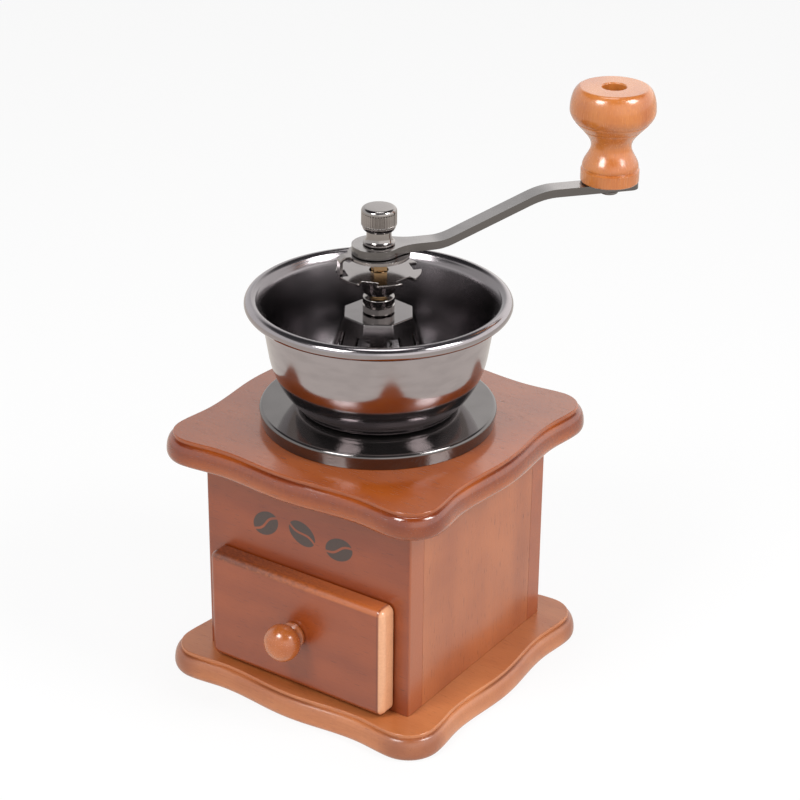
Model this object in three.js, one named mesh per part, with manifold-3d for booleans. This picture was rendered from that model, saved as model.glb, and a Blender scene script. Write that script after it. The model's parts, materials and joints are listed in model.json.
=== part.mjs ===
// Manual coffee grinder: a wooden case with a drawer, a spun steel hopper over a conical
// burr set, and a hand crank with a turned wooden knob. Millimetres, +Z up. The origin is
// on the shaft axis in the plane of the case's underside, and the drawer faces -Y.
import * as THREE from "three";
import { mergeVertices } from "three/addons/utils/BufferGeometryUtils.js";
import Module from "manifold-3d";

const wasm = await Module();
wasm.setup();

// Driving dimensions

// Clearances
const seam = 0.1; // between glued wooden pieces
const gap = 0.3; // between metal pieces that touch, and round every pin and shaft
const overrun = 1; // by which every cutting body passes the face it cuts

// Moulded top and base plates: one serpentine outline, one edge profile
const plateOverhang = 12.7; // line through the plate's corners, out from the case
const plateBulge = 0.75; // middle of a side beyond that line
const plateValley = 1.25; // hollows either side of the middle, behind that line
const valleyShare = 0.63; // where the hollows lie, as a share of the straight half side
const plateCorner = 12.3; // corner radius
const plateThickness = 9;
const plateStep = 1.3; // upright step at the top of the edge
const plateBead = 2.3; // reach of the bead beyond the step
const plateBeadRise = 5.2; // height of the bead's upper quarter round
const plateUnderReach = 1.5; // reach of the rounding under the bead

// Case
const caseHalf = 41.5; // square outside
const caseHeight = 73.4; // between the plates
const panelThickness = 8;
const throatRadius = 19.8; // hole in the top plate

// Drawer
const drawerJamb = 9; // front panel beside the opening
const drawerOpeningHeight = 37;
const drawerOverlap = 3.2; // drawer front over each jamb
const drawerFrontHeight = 40.3;
const drawerFrontThickness = 6.4;
const drawerFrontRound = 2.2; // rounding of the front edges
const faceFlatShare = 0.1; // of the corner rounding that is left at the face
const drawerFrontLift = 0.9; // above the base plate
const drawerBackRoom = 4.9; // between the drawer's back and the back panel
const drawerBoxHeight = 34;
const drawerWall = 5;
const drawerFloor = 3;
const drawerFloorRise = 2; // underside of the floor above the walls' lower edge
const runningGap = 0.5; // round the drawer in its opening

// Drawer knob
const pullHeadRadius = 6.5;
const pullLength = 12.2;
const pullNeckRadius = 3.3;
const pullFootRadius = 4.6;
const pullFootHeight = 1.2;
const pullFlatShare = 0.85; // head's half length over its radius
const pullScrewRadius = 1.6;
const pullScrewReach = 7; // into the knob
const pullScrewHeadRadius = 3.2;
const pullScrewHeadHeight = 1.6;

// Flange collar under the hopper
const collarRadius = 40;
const collarHeight = 5.2;
const collarDraft = 0.5; // the wall leans in by this much at its foot
const collarSheet = 1;
const collarRound = 1.2;
const collarHole = 19.4;

// Hopper bowl
const bowlSheet = 1;
const bowlHeight = 39.2; // from the collar to the rim's top
const rimRadius = 44.4;
const rimRoll = 2.2; // radius of the rolled rim
const wallTopRadius = 39.1; // outside, just under the rim
const wallTaper = 9; // degrees off upright
const wallHeight = 16; // of the straight part
const wallArc = 31; // radius of the curved lower part
const footRound = 1.4;

// Bearing bridge that stands in the hopper: an octagonal cup on eight legs
const bridgeSides = 8;
const bridgeTopRadius = 12.1; // over the corners
const bridgeFootRadius = 23.4;
const bridgeHeight = 31.7;
const bridgeSheet = 1.2;
const bridgeSkirt = 4.8; // height of the closed wall under the top
const bridgeTurn = -10.5; // degrees
const legWidth = 5.6;
const footLength = 2.6;

// Shaft and its bush
const shaftRadius = 2.85;
const shaftEnd = 2.5; // below the burr nut
const bushRadius = 5.3;
const bushRise = 5.7; // above the bridge
const bushGroove = 0.5;
const bushGrooveWidth = 0.7;
const bushCollar = 2.1; // height of the ring above the groove
const bushNeckRadius = 4.4;
const bushTail = 3.4; // below the bridge's plate
const bushTailRadius = 5.2;

// Star-shaped adjusting nut
const starRadius = 14;
const starNotches = 6;
const starNotchDepth = 3;
const starNotchWidth = 5.8;
const starThickness = 1.1;
const hubRadius = 5.5;
const hubHeight = 6.9;
const hubRound = 1.3; // rounding of its lower edge
const hubToBush = 1.2; // bare shaft between the hub and the bush

// Lock plate: a washer with one tab in a notch of the star
const lockRadius = 10.3;
const lockSheet = 1;
const lockTabWidth = 3.6;
const lockTabReach = 13.6;
const lockTabDrop = 7.6;

// Crank arm
const crankTurn = 50; // degrees from +X, at rest
const armThickness = 2.8;
const armWidth = 6.4;
const armBossRadius = 8;
const armBossBack = 1; // boss centre behind the shaft axis
const armBlend = 14; // radius between boss and bar
const armRadius = 79; // shaft axis to knob axis
const armTail = 10.1; // knob axis to the tip
const armRise = 14.2;
const armSlope = 22.5; // degrees
const armBendStart = 21.2; // where the lower bend is centred
const armLowerBend = 17;
const armUpperBend = 25;
const driveSquare = 4.4; // across the flats that drive the arm
const starToArm = 6.4; // from the star's top to the arm's underside

// Cap nut
const capRadius = 5.85;
const capFlutes = 40;
const capFluteDepth = 0.3;
const capKnurl = 4.8; // height of the fluted band
const capDome = 1.4;
const capCrown = 4.6; // radius of the dome's flat top
const capUnder = 1.9; // height of the rounding below the band
const capNeckRadius = 4.1;
const capNeckHeight = 1.4;
const capFlare = 2.4; // height of the hollow curve from the foot to the neck
const capFootRadius = 5.3;
const capFootHeight = 0.6;
const studRadius = 2; // threaded end of the shaft inside the nut
const studLength = 9;

// Crank knob
const knobHeight = 32.4;
const knobHeadRadius = 14.2;
const knobCrownRadius = 10.9;
const knobWaistRadius = 6.7;
const knobFootRadius = 9.75;
const knobFootRound = 0.7;
const knobFootHeight = 4.3; // of the straight band at the foot
const knobNeckRadius = 9.4; // above the band
const knobNeckLevel = 5.2;
const knobWaistLevel = 12.4;
const knobHeadLevel = 24.7;
const knobLineShares = [0.47, 0.71]; // of the way from waist to head
const knobLineWidth = 0.7;
const knobLineDepth = 0.25;
const knobRecessRadius = 4;
const knobRecessDepth = 9;
const pinRadius = 2.1;
const pinHeadRadius = 3.5;
const pinHeadHeight = 1.8;
const pinUpset = 1; // riveted end under the arm

// Burr set
const ringRadius = 18.6;
const ringHeight = 16.6;
const ringMouth = 13.6; // bore at the top, over the tooth roots
const ringBase = 15.4; // bore at the bottom
const ringTeeth = 20;
const ringToothDepth = 0.7;
const coneHeight = 15;
const coneTop = 6.8;
const coneRim = 13.6;
const coneTeeth = 12;
const coneTwist = 70; // degrees from top to bottom
const coneToothDepthTop = 1.8;
const coneToothDepthRim = 0.6;
const carrierSheet = 2.2;
const carrierLip = 15.8;
const carrierLipHeight = 1.8;
const nutFlats = 9; // across flats
const nutHeight = 3.4;
const washerRadius = 6.4;
const washerHeight = 1.1;

// Spring round the shaft, between the cone and the bush
const springRadius = 4.6; // centre line
const springWire = 0.55; // wire radius
const springTurns = 9;
const springStepsPerTurn = 8;
const springSides = 5;

// Wood screws
const screwRadius = 1.5;
const screwHeadRadius = 3.1;
const baseScrewLength = 22;
const baseScrewInset = 16; // from the case's front and back faces
const screwSink = 0.6; // heads below the underside
const carrierScrews = 4;
const carrierScrewRoom = 0.4; // between the screws' heads and the carrier's cup
const carrierEdge = 1.3; // between the screws' heads and the carrier's edge
const carrierMargin = 1; // between the carrier and the panels
const carrierScrewLength = 7;
const carrierHeadHeight = 1.5;
const screwFlatShare = 0.6; // flat part of the head, of its radius

// Facets round a full turn
const fine = 48;
const medium = 28;
const small = 16;
const sidePoints = 14; // along each plate side
const cornerSteps = 4; // round each plate corner
const edgeSteps = 3; // round each half of the bead

// Levels worked out from the sizes above
const caseBottom = plateThickness;
const caseTop = caseBottom + caseHeight + 2 * seam;
const deckLevel = caseTop + plateThickness;
const collarTop = deckLevel + seam + collarHeight;
const bowlBottom = collarTop + gap;
const rimTop = collarTop + bowlHeight;
const bridgeBottom = bowlBottom + bowlSheet + gap;
const bridgeTop = bridgeBottom + bridgeHeight;
const bushTop = bridgeTop + bushRise;
const hubBottom = bushTop + hubToBush;
const starBottom = hubBottom + hubHeight;
const starTop = starBottom + starThickness;
const armBottom = starTop + starToArm;
const armTop = armBottom + armThickness;
const capBottom = armTop + gap;
const knobBottom = armTop + armRise + gap;
const carrierTop = caseTop - gap;
const ringBottom = carrierTop - carrierSheet - carrierLipHeight;
const coneBottom = ringBottom + (ringHeight - coneHeight) / 2;
const coneTopLevel = coneBottom + coneHeight;
const washerTop = coneBottom - gap;
const burrNutTop = washerTop - washerHeight - gap;
const shaftBottom = burrNutTop - nutHeight - shaftEnd;
const bushBottom = bridgeTop - bridgeSheet - bushTail;
const plateHalf = caseHalf + plateOverhang;
const drawerOpeningHalf = caseHalf - drawerJamb;
const drawerFrontHalf = drawerOpeningHalf + drawerOverlap;
const drawerFrontBack = -caseHalf - runningGap;
const drawerFrontFace = drawerFrontBack - drawerFrontThickness;
const drawerFrontBottom = caseBottom + drawerFrontLift;
const pullLevel = drawerFrontBottom + drawerFrontHeight / 2;

// Helpers
const turn = (degrees) => THREE.MathUtils.degToRad(degrees);

// Points of an arc in the plane of a profile, first and last included.
function arc(cx, cy, radiusX, radiusY, fromDegrees, toDegrees, steps) {
  return Array.from({ length: steps + 1 }, (_, i) => {
    const angle = turn(fromDegrees + ((toDegrees - fromDegrees) * i) / steps);
    return [cx + radiusX * Math.cos(angle), cy + radiusY * Math.sin(angle)];
  });
}

// Signed volume of an indexed geometry: negative when its faces point inward.
function volumeOf(geometry) {
  const position = geometry.attributes.position;
  const index = geometry.index.array;
  const [a, b, c] = [new THREE.Vector3(), new THREE.Vector3(), new THREE.Vector3()];
  let sum = 0;
  for (let i = 0; i < index.length; i += 3) {
    a.fromBufferAttribute(position, index[i]);
    b.fromBufferAttribute(position, index[i + 1]);
    c.fromBufferAttribute(position, index[i + 2]);
    sum += a.dot(b.cross(c)) / 6;
  }
  return sum;
}

// One closed body with merged corners, no empty faces and its faces pointing out.
function closed(geometry) {
  geometry.deleteAttribute("normal");
  geometry.deleteAttribute("uv");
  const merged = mergeVertices(geometry);
  const index = merged.index.array;
  const kept = [];
  for (let i = 0; i < index.length; i += 3) {
    const [a, b, c] = [index[i], index[i + 1], index[i + 2]];
    if (a !== b && b !== c && c !== a) kept.push(a, b, c);
  }
  merged.setIndex(kept);
  if (volumeOf(merged) < 0) merged.setIndex(kept.reverse());
  return merged;
}

// Solid of revolution about Z from [radius, height] points. The profile starts and ends
// on the axis, or is a ring's section that closes on itself.
function revolve(profile, facets) {
  const onAxis = profile[0][0] === 0;
  const points = (onAxis ? profile : [...profile, profile[0]]).map(([r, z]) => new THREE.Vector2(r, z));
  return closed(new THREE.LatheGeometry(points, facets).rotateX(turn(90)));
}

// Skin over rings of equally many [x, y, z] points. Both ends are closed by a fan, or the
// last ring joins the first when the skin is a ring itself.
function loft(rings, joined = false) {
  const count = rings[0].length;
  const points = rings.flat();
  const index = [];
  const bands = joined ? rings.length : rings.length - 1;
  for (let band = 0; band < bands; band += 1) {
    const low = band * count;
    const high = ((band + 1) % rings.length) * count;
    for (let i = 0; i < count; i += 1) {
      const next = (i + 1) % count;
      index.push(low + i, low + next, high + next, low + i, high + next, high + i);
    }
  }
  if (!joined) {
    for (const [first, flip] of [[0, true], [(rings.length - 1) * count, false]]) {
      const ring = points.slice(first, first + count);
      const centre = [0, 1, 2].map((axis) => ring.reduce((sum, p) => sum + p[axis], 0) / count);
      const hub = points.push(centre) - 1;
      for (let i = 0; i < count; i += 1) {
        const edge = [first + i, first + ((i + 1) % count)];
        index.push(hub, ...(flip ? edge.reverse() : edge));
      }
    }
  }
  const geometry = new THREE.BufferGeometry();
  geometry.setAttribute("position", new THREE.Float32BufferAttribute(points.flat(), 3));
  geometry.setIndex(index);
  return closed(geometry);
}

// Box from its low corner to its high corner.
function block([x0, y0, z0], [x1, y1, z1]) {
  const box = new THREE.BoxGeometry(x1 - x0, y1 - y0, z1 - z0);
  return closed(box.translate((x0 + x1) / 2, (y0 + y1) / 2, (z0 + z1) / 2));
}

// Round bar along Z.
const rod = (radius, bottom, top, facets) =>
  revolve([[0, bottom], [radius, bottom], [radius, top], [0, top]], facets);

function toSolid(geometry) {
  const mesh = new wasm.Mesh({
    numProp: 3,
    vertProperties: new Float32Array(geometry.attributes.position.array),
    triVerts: new Uint32Array(geometry.index.array),
  });
  return new wasm.Manifold(mesh);
}

function fromSolid(solid) {
  const mesh = solid.getMesh();
  const geometry = new THREE.BufferGeometry();
  geometry.setAttribute("position", new THREE.Float32BufferAttribute(mesh.vertProperties, 3));
  geometry.setIndex([...mesh.triVerts]);
  return geometry;
}

const cut = (body, ...tools) =>
  fromSolid(tools.reduce((solid, tool) => solid.subtract(toSolid(tool)), toSolid(body)));
const join = (body, ...others) =>
  fromSolid(others.reduce((solid, other) => solid.add(toSolid(other)), toSolid(body)));
const common = (body, other) => fromSolid(toSolid(body).intersect(toSolid(other)));

// Materials
const wood = { colour: 0xa8643e, roughness: 0.42, metalness: 0 };
const woodDark = { colour: 0x96542f, roughness: 0.45, metalness: 0 };
const beech = { colour: 0xd68a4c, roughness: 0.3, metalness: 0 };
const blackNickel = { colour: 0x6a6668, roughness: 0.16, metalness: 1 };
const steel = { colour: 0x8d8b8c, roughness: 0.32, metalness: 1 };
const brass = { colour: 0xa87c4c, roughness: 0.35, metalness: 1 };
const iron = { colour: 0x4c4a49, roughness: 0.6, metalness: 1 };

function piece(name, geometry, { colour, roughness, metalness }) {
  geometry.computeVertexNormals();
  const material = new THREE.MeshStandardMaterial({ color: colour, roughness, metalness });
  const mesh = new THREE.Mesh(geometry, material);
  mesh.name = name;
  return mesh;
}

function group(...members) {
  const result = new THREE.Group();
  result.add(...members);
  return result;
}

// Case: plates

// Distance of a plate's edge from the line through its corners, at a share 0 to 1 of the
// way from the middle of a side to its corner: bulge, hollow, and back to the line.
function serpentine(share) {
  if (share <= valleyShare) {
    const wave = Math.cos((Math.PI / 2) * (share / valleyShare)) ** 2;
    return (plateBulge + plateValley) * wave - plateValley;
  }
  const rise = (1 - Math.cos((Math.PI * (share - valleyShare)) / (1 - valleyShare))) / 2;
  return plateValley * (rise - 1);
}

// The plate's outline, drawn in by an inset square to the edge.
function plateOutline(inset) {
  const straight = plateHalf - plateCorner;
  const side = Array.from({ length: sidePoints }, (_, i) => {
    const share = (2 * i) / (sidePoints - 1) - 1;
    return [share * straight, -plateHalf - serpentine(Math.abs(share))];
  });
  const corner = arc(straight, -straight, plateCorner, plateCorner, -90, 0, cornerSteps).slice(1, -1);
  const quarter = [...side, ...corner];
  const outline = [0, 1, 2, 3].flatMap((k) => {
    const [cos, sin] = [Math.round(Math.cos(turn(90 * k))), Math.round(Math.sin(turn(90 * k)))];
    return quarter.map(([x, y]) => [x * cos - y * sin, x * sin + y * cos]);
  });
  return outline.map(([x, y], i) => {
    const [px, py] = outline.at(i - 1);
    const [nx, ny] = outline[(i + 1) % outline.length];
    const length = Math.hypot(nx - px, ny - py);
    return [x - (inset * (ny - py)) / length, y + (inset * (nx - px)) / length];
  });
}

// Plate with its upright step and its bead, from [inset, height] stations up the edge.
function mouldedPlate(bottom) {
  const stepLevel = plateThickness - plateStep;
  const beadLevel = stepLevel - plateBeadRise;
  const under = arc(plateUnderReach, beadLevel, plateUnderReach, beadLevel, -90, -180, edgeSteps);
  const over = arc(plateBead, beadLevel, plateBead, plateBeadRise, 180, 90, edgeSteps).slice(1);
  const stations = [...under, ...over, [plateBead, plateThickness]];
  const level = ([inset, height]) => plateOutline(inset).map(([x, y]) => [x, y, bottom + height]);
  return loft(stations.map(level));
}

const screwPlaces = [-1, 1].flatMap((x) =>
  [-1, 1].map((y) => [x * (caseHalf - panelThickness / 2), y * (caseHalf - baseScrewInset)]));

function basePlate() {
  const countersink = revolve([
    [0, -overrun],
    [screwHeadRadius + gap, -overrun],
    [screwHeadRadius + gap, screwSink],
    [screwRadius + gap, screwSink + screwHeadRadius - screwRadius],
    [screwRadius + gap, plateThickness + overrun],
    [0, plateThickness + overrun],
  ], small);
  return cut(mouldedPlate(0), ...screwPlaces.map(([x, y]) => countersink.clone().translate(x, y, 0)));
}

const carrierCup = ringRadius + gap + carrierSheet; // outside of the cup round the burr
const carrierScrewRing = carrierCup + carrierScrewRoom + screwHeadRadius;
const carrierPlaces = Array.from({ length: carrierScrews }, (_, i) => {
  const angle = turn((360 * (i + 1 / 2)) / carrierScrews);
  return [carrierScrewRing * Math.cos(angle), carrierScrewRing * Math.sin(angle)];
});

function topPlate() {
  const throat = rod(throatRadius, caseTop - overrun, deckLevel + overrun, fine);
  const pilotTop = carrierTop - carrierSheet + carrierScrewLength + gap;
  const pilot = rod(screwRadius + gap, caseTop - overrun, pilotTop, small);
  const pilots = carrierPlaces.map(([x, y]) => pilot.clone().translate(x, y, 0));
  return cut(mouldedPlate(caseTop), throat, ...pilots);
}

// Case: panels
const panelBottom = caseBottom + seam;
const panelTop = caseTop - seam;

function frontPanel() {
  const panel = block([-caseHalf, -caseHalf, panelBottom],
    [caseHalf, -caseHalf + panelThickness, panelTop]);
  const opening = block([-drawerOpeningHalf, -caseHalf - overrun, panelBottom - overrun],
    [drawerOpeningHalf, -caseHalf + panelThickness + overrun, caseBottom + drawerOpeningHeight]);
  return cut(panel, opening);
}

const backPanel = () => block([-caseHalf, caseHalf - panelThickness, panelBottom],
  [caseHalf, caseHalf, panelTop]);

function sidePanel(side) {
  const depth = caseHalf - panelThickness - seam;
  const [inner, outer] = [side * (caseHalf - panelThickness), side * caseHalf];
  const panel = block([Math.min(inner, outer), -depth, panelBottom],
    [Math.max(inner, outer), depth, panelTop]);
  const pilotTop = screwSink + baseScrewLength + gap;
  const pilot = rod(screwRadius + gap, panelBottom - overrun, pilotTop, small);
  const own = screwPlaces.filter(([x]) => x * side > 0);
  return cut(panel, ...own.map(([x, y]) => pilot.clone().translate(x, y, 0)));
}

function baseScrew() {
  return revolve([
    [0, screwSink],
    [screwHeadRadius, screwSink],
    [screwRadius, screwSink + screwHeadRadius - screwRadius],
    [screwRadius, screwSink + baseScrewLength - screwRadius],
    [0, screwSink + baseScrewLength],
  ], small);
}

// Hopper
function flangeCollar() {
  const foot = deckLevel + seam;
  const inner = collarTop - collarSheet;
  const round = arc(collarRadius - collarRound, collarTop - collarRound, collarRound, collarRound, 0, 90, 3);
  return revolve([
    [collarRadius - collarDraft, foot],
    ...round,
    [collarHole, collarTop],
    [collarHole, inner],
    [collarRadius - collarRound - collarSheet, inner],
    [collarRadius - collarSheet, inner - collarRound],
    [collarRadius - collarDraft - collarSheet, foot],
  ], fine);
}

// Outside of the bowl's wall, from its foot to just under the rim.
const rimCentre = [rimRadius - rimRoll, rimTop - rimRoll];
const wallTopLevel = rimTop - 2 * rimRoll + collarSheet / 2;

function bowlWall(offset) {
  const [sin, cos] = [Math.sin(turn(wallTaper)), Math.cos(turn(wallTaper))];
  const kneeRadius = wallTopRadius - (wallHeight * sin) / cos;
  const kneeLevel = wallTopLevel - wallHeight;
  const centre = [kneeRadius - wallArc * cos, kneeLevel + wallArc * sin];
  const low = bowlBottom + footRound;
  const lowAngle = -Math.asin((centre[1] - low) / wallArc) / turn(1);
  const radius = wallArc - offset;
  const curve = arc(...centre, radius, radius, lowAngle, -wallTaper, 5);
  return [...curve, [wallTopRadius - offset / cos, wallTopLevel]];
}

function hopperBowl() {
  const outer = bowlWall(0);
  const inner = bowlWall(bowlSheet).reverse();
  const footRadius = outer[0][0] - footRound;
  return revolve([
    [collarHole, bowlBottom],
    [footRadius - footRound, bowlBottom],
    [footRadius, bowlBottom],
    ...outer,
    ...arc(...rimCentre, rimRoll, rimRoll, -115, 160, 7),
    ...inner,
    [footRadius - bowlSheet, bowlBottom + bowlSheet],
    [collarHole, bowlBottom + bowlSheet],
  ], fine);
}

// Bearing bridge
const octagon = (radius, level) => Array.from({ length: bridgeSides }, (_, i) => {
  const angle = turn(bridgeTurn + (360 * (i + 1 / 2)) / bridgeSides);
  return [radius * Math.cos(angle), radius * Math.sin(angle), level];
});

function bearingBridge() {
  const slope = (bridgeFootRadius - bridgeTopRadius) / bridgeHeight;
  const radiusAt = (level) => bridgeTopRadius + slope * (bridgeTop - level);
  const footTop = bridgeBottom + bridgeSheet;
  const footReach = bridgeFootRadius + footLength;
  const outer = loft([
    octagon(footReach, bridgeBottom),
    octagon(footReach, footTop),
    octagon(radiusAt(footTop), footTop),
    octagon(bridgeTopRadius, bridgeTop),
  ]);
  const hollow = loft([
    octagon(radiusAt(bridgeBottom - overrun) - bridgeSheet, bridgeBottom - overrun),
    octagon(bridgeTopRadius - bridgeSheet, bridgeTop - bridgeSheet),
  ]);
  const skirtLevel = bridgeTop - bridgeSkirt;
  const legs = Array.from({ length: bridgeSides / 2 }, (_, i) => {
    const leg = block([-footReach, -legWidth / 2, bridgeBottom - overrun],
      [footReach, legWidth / 2, bridgeTop + overrun]);
    return leg.rotateZ(turn(bridgeTurn + (360 * i) / bridgeSides));
  });
  const skirt = rod(footReach, skirtLevel, bridgeTop + overrun, medium);
  const bore = rod(bushNeckRadius + gap, bridgeTop - 2 * bridgeSheet, bridgeTop + overrun, medium);
  return cut(common(cut(outer, hollow), join(skirt, ...legs)), bore);
}

// Bush riveted through the bridge: a collar above, a neck in the hole, a tail below.
function shaftBush() {
  const bore = shaftRadius + gap;
  const seat = bridgeTop + gap;
  const tailTop = bridgeTop - bridgeSheet - gap;
  const grooveTop = bushTop - bushCollar;
  const grooveBottom = grooveTop - bushGrooveWidth;
  return revolve([
    [bore, bushBottom],
    [bushTailRadius, bushBottom],
    [bushTailRadius, tailTop],
    [bushNeckRadius, tailTop],
    [bushNeckRadius, seat],
    [bushRadius, seat],
    [bushRadius, grooveBottom],
    [bushRadius - bushGroove, (grooveBottom + grooveTop) / 2],
    [bushRadius, grooveTop],
    [bushRadius, bushTop - bushGroove],
    [bushRadius - bushGroove, bushTop],
    [bore, bushTop],
  ], medium);
}

// Burr set

// Ring of points whose radius swings between a root and a crest, turned by a twist.
const toothShares = [0, 1 / 2, 1, 1 / 2]; // root, rising, crest, falling

function toothedRing(root, crest, level, teeth, twist = 0) {
  const count = teeth * toothShares.length;
  return Array.from({ length: count }, (_, i) => {
    const angle = turn(twist + (360 * i) / count);
    const radius = root + (crest - root) * toothShares[i % toothShares.length];
    return [radius * Math.cos(angle), radius * Math.sin(angle), level];
  });
}

function outerBurrRing() {
  const top = ringBottom + gap + ringHeight;
  const bottom = ringBottom + gap;
  const plain = (radius, level) => toothedRing(radius, radius, level, ringTeeth);
  const bore = (radius, level) => toothedRing(radius, radius - ringToothDepth, level, ringTeeth);
  return loft([
    plain(ringRadius, bottom),
    plain(ringRadius, top),
    bore(ringMouth + 2 * ringToothDepth, top),
    bore(ringMouth, top - ringHeight / 4),
    bore(ringBase, bottom),
  ], true);
}

function coneBurr() {
  const layers = 6;
  const bore = shaftRadius + gap;
  const flank = Array.from({ length: layers + 1 }, (_, i) => {
    const share = i / layers;
    const crest = coneRim + (coneTop - coneRim) * share;
    const depth = coneToothDepthRim + (coneToothDepthTop - coneToothDepthRim) * share;
    const level = coneBottom + coneHeight * share;
    return toothedRing(crest - depth, crest, level, coneTeeth, coneTwist * share);
  });
  return cut(loft(flank), rod(bore, coneBottom - overrun, coneTopLevel + overrun, medium));
}

// Flanged cup that holds the outer burr. Its flange lies between the four panels.
function burrCarrier() {
  const seat = ringRadius + gap;
  const flange = carrierScrewRing + screwHeadRadius + carrierEdge;
  const inside = caseHalf - panelThickness - carrierMargin;
  const bottom = ringBottom - carrierLipHeight;
  const body = revolve([
    [carrierLip, bottom],
    [carrierCup, bottom],
    [carrierCup, carrierTop - carrierSheet],
    [flange, carrierTop - carrierSheet],
    [flange, carrierTop],
    [seat, carrierTop],
    [seat, ringBottom],
    [carrierLip, ringBottom],
  ], medium);
  const room = block([-inside, -inside, bottom - overrun], [inside, inside, carrierTop + overrun]);
  const hole = rod(screwRadius + gap, carrierTop - 2 * carrierSheet, carrierTop + overrun, small);
  return cut(common(body, room), ...carrierPlaces.map(([x, y]) => hole.clone().translate(x, y, 0)));
}

function carrierScrew() {
  const seat = carrierTop - carrierSheet - gap;
  return revolve([
    [0, seat - carrierHeadHeight],
    [screwHeadRadius * screwFlatShare, seat - carrierHeadHeight],
    [screwHeadRadius, seat - carrierHeadHeight / 2],
    [screwHeadRadius, seat],
    [screwRadius, seat],
    [screwRadius, seat + carrierScrewLength - screwRadius],
    [0, seat + carrierScrewLength],
  ], small);
}

// Shaft and what turns with it
function grinderShaft() {
  const squareBottom = starTop + gap;
  const squareTop = armTop - gap;
  const round = revolve([
    [0, shaftBottom],
    [shaftRadius, shaftBottom],
    [shaftRadius, squareBottom],
    [0, squareBottom],
  ], medium);
  const flats = block([-driveSquare / 2, -driveSquare / 2, squareBottom - overrun],
    [driveSquare / 2, driveSquare / 2, squareTop]);
  const stud = rod(studRadius, squareTop - overrun, squareTop + studLength, small);
  return join(round, flats, stud);
}

// Least gap between the wire and itself, taken over all pairs of ring centres
// that lie more than half a turn apart along the wire.
function leastWireGap(centres) {
  const apart = springStepsPerTurn / 2;
  const spans = centres.flatMap((a, i) => centres.slice(i + apart + 1).map((b) => a.distanceTo(b)));
  return Math.min(...spans) - 2 * springWire;
}

function burrSpring() {
  const bottom = coneTopLevel + gap + springWire;
  const top = bushBottom - gap - springWire;
  const steps = springTurns * springStepsPerTurn;
  const coil = Array.from({ length: steps + 1 }, (_, i) => {
    const angle = (2 * Math.PI * i) / springStepsPerTurn;
    const level = bottom + ((top - bottom) * i) / steps;
    return new THREE.Vector3(springRadius * Math.cos(angle), springRadius * Math.sin(angle), level);
  });
  // Each end runs straight on for one wire diameter.
  const tangent = new THREE.Vector3(0, 2 * springWire, 0);
  const centres = [coil[0].clone().sub(tangent), ...coil, coil[steps].clone().add(tangent)];
  const up = new THREE.Vector3(0, 0, 1);
  const rings = centres.map((middle, i) => {
    const onCoil = coil[THREE.MathUtils.clamp(i - 1, 0, steps)];
    const out = new THREE.Vector3(onCoil.x, onCoil.y, 0).normalize();
    return Array.from({ length: springSides }, (_, k) => {
      const angle = (2 * Math.PI * k) / springSides;
      const point = middle.clone().addScaledVector(out, springWire * Math.cos(angle));
      return point.addScaledVector(up, springWire * Math.sin(angle)).toArray();
    });
  });
  console.log(`burr spring: least gap to itself ${leastWireGap(centres).toFixed(2)} mm`);
  return loft(rings);
}

function burrWasher() {
  return revolve([
    [shaftRadius + gap, washerTop - washerHeight],
    [washerRadius, washerTop - washerHeight],
    [washerRadius, washerTop],
    [shaftRadius + gap, washerTop],
  ], small);
}

function burrNut() {
  const top = burrNutTop;
  const hex = new THREE.CylinderGeometry(nutFlats / Math.sqrt(3), nutFlats / Math.sqrt(3), nutHeight, 6);
  const body = closed(hex.rotateX(turn(90)).translate(0, 0, top - nutHeight / 2));
  return cut(body, rod(shaftRadius + gap, top - nutHeight - overrun, top + overrun, small));
}

function adjustingNut() {
  const bore = shaftRadius + gap;
  const body = revolve([
    [bore, hubBottom],
    ...arc(hubRadius - hubRound, hubBottom + hubRound, hubRound, hubRound, -90, 0, 3),
    [hubRadius, starBottom],
    [starRadius, starBottom],
    [starRadius, starTop],
    [bore, starTop],
  ], medium);
  const notch = block([starRadius - starNotchDepth, -starNotchWidth / 2, starBottom - overrun],
    [starRadius + overrun, starNotchWidth / 2, starTop + overrun]);
  const notches = Array.from({ length: starNotches }, (_, i) =>
    notch.clone().rotateZ(turn(180 + (360 * i) / starNotches)));
  return cut(body, ...notches);
}

// Washer whose tab bends down into the star's notch on the side away from the arm.
function lockPlate() {
  const top = armBottom - gap;
  const bottom = top - lockSheet;
  const slot = driveSquare / 2 + gap;
  const tab = block([-lockTabReach, -lockTabWidth / 2, bottom], [0, lockTabWidth / 2, top]);
  const drop = block([-lockTabReach, -lockTabWidth / 2, top - lockTabDrop],
    [-lockTabReach + lockSheet, lockTabWidth / 2, top]);
  const square = block([-slot, -slot, bottom - overrun], [slot, slot, top + overrun]);
  return cut(join(rod(lockRadius, bottom, top, medium), tab, drop), square);
}

// Height of the arm's underside above the boss, at a distance along the arm. The slope
// swells and fades over both bends.
const armRun = armRise / Math.tan(turn(armSlope));
const bendSpan = (radius) => radius * Math.sin(turn(armSlope));

function armLift(distance) {
  const ramp = (centre, span) => {
    const share = THREE.MathUtils.clamp((distance - centre) / span + 1 / 2, 0, 1);
    const past = Math.max(distance - centre - span / 2, 0);
    return (span * share * share) / 2 + past;
  };
  const climb = ramp(armBendStart, bendSpan(armLowerBend));
  const level = ramp(armBendStart + armRun, bendSpan(armUpperBend));
  return (climb - level) * Math.tan(turn(armSlope));
}

// Where the boss ends and where its blend with the bar ends, along the arm.
const blendReach = Math.sqrt((armBossRadius + armBlend) ** 2 - (armWidth / 2 + armBlend) ** 2);
const blendEnd = blendReach - armBossBack;
const bossEnd = (blendReach * armBossRadius) / (armBossRadius + armBlend) - armBossBack;

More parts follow.
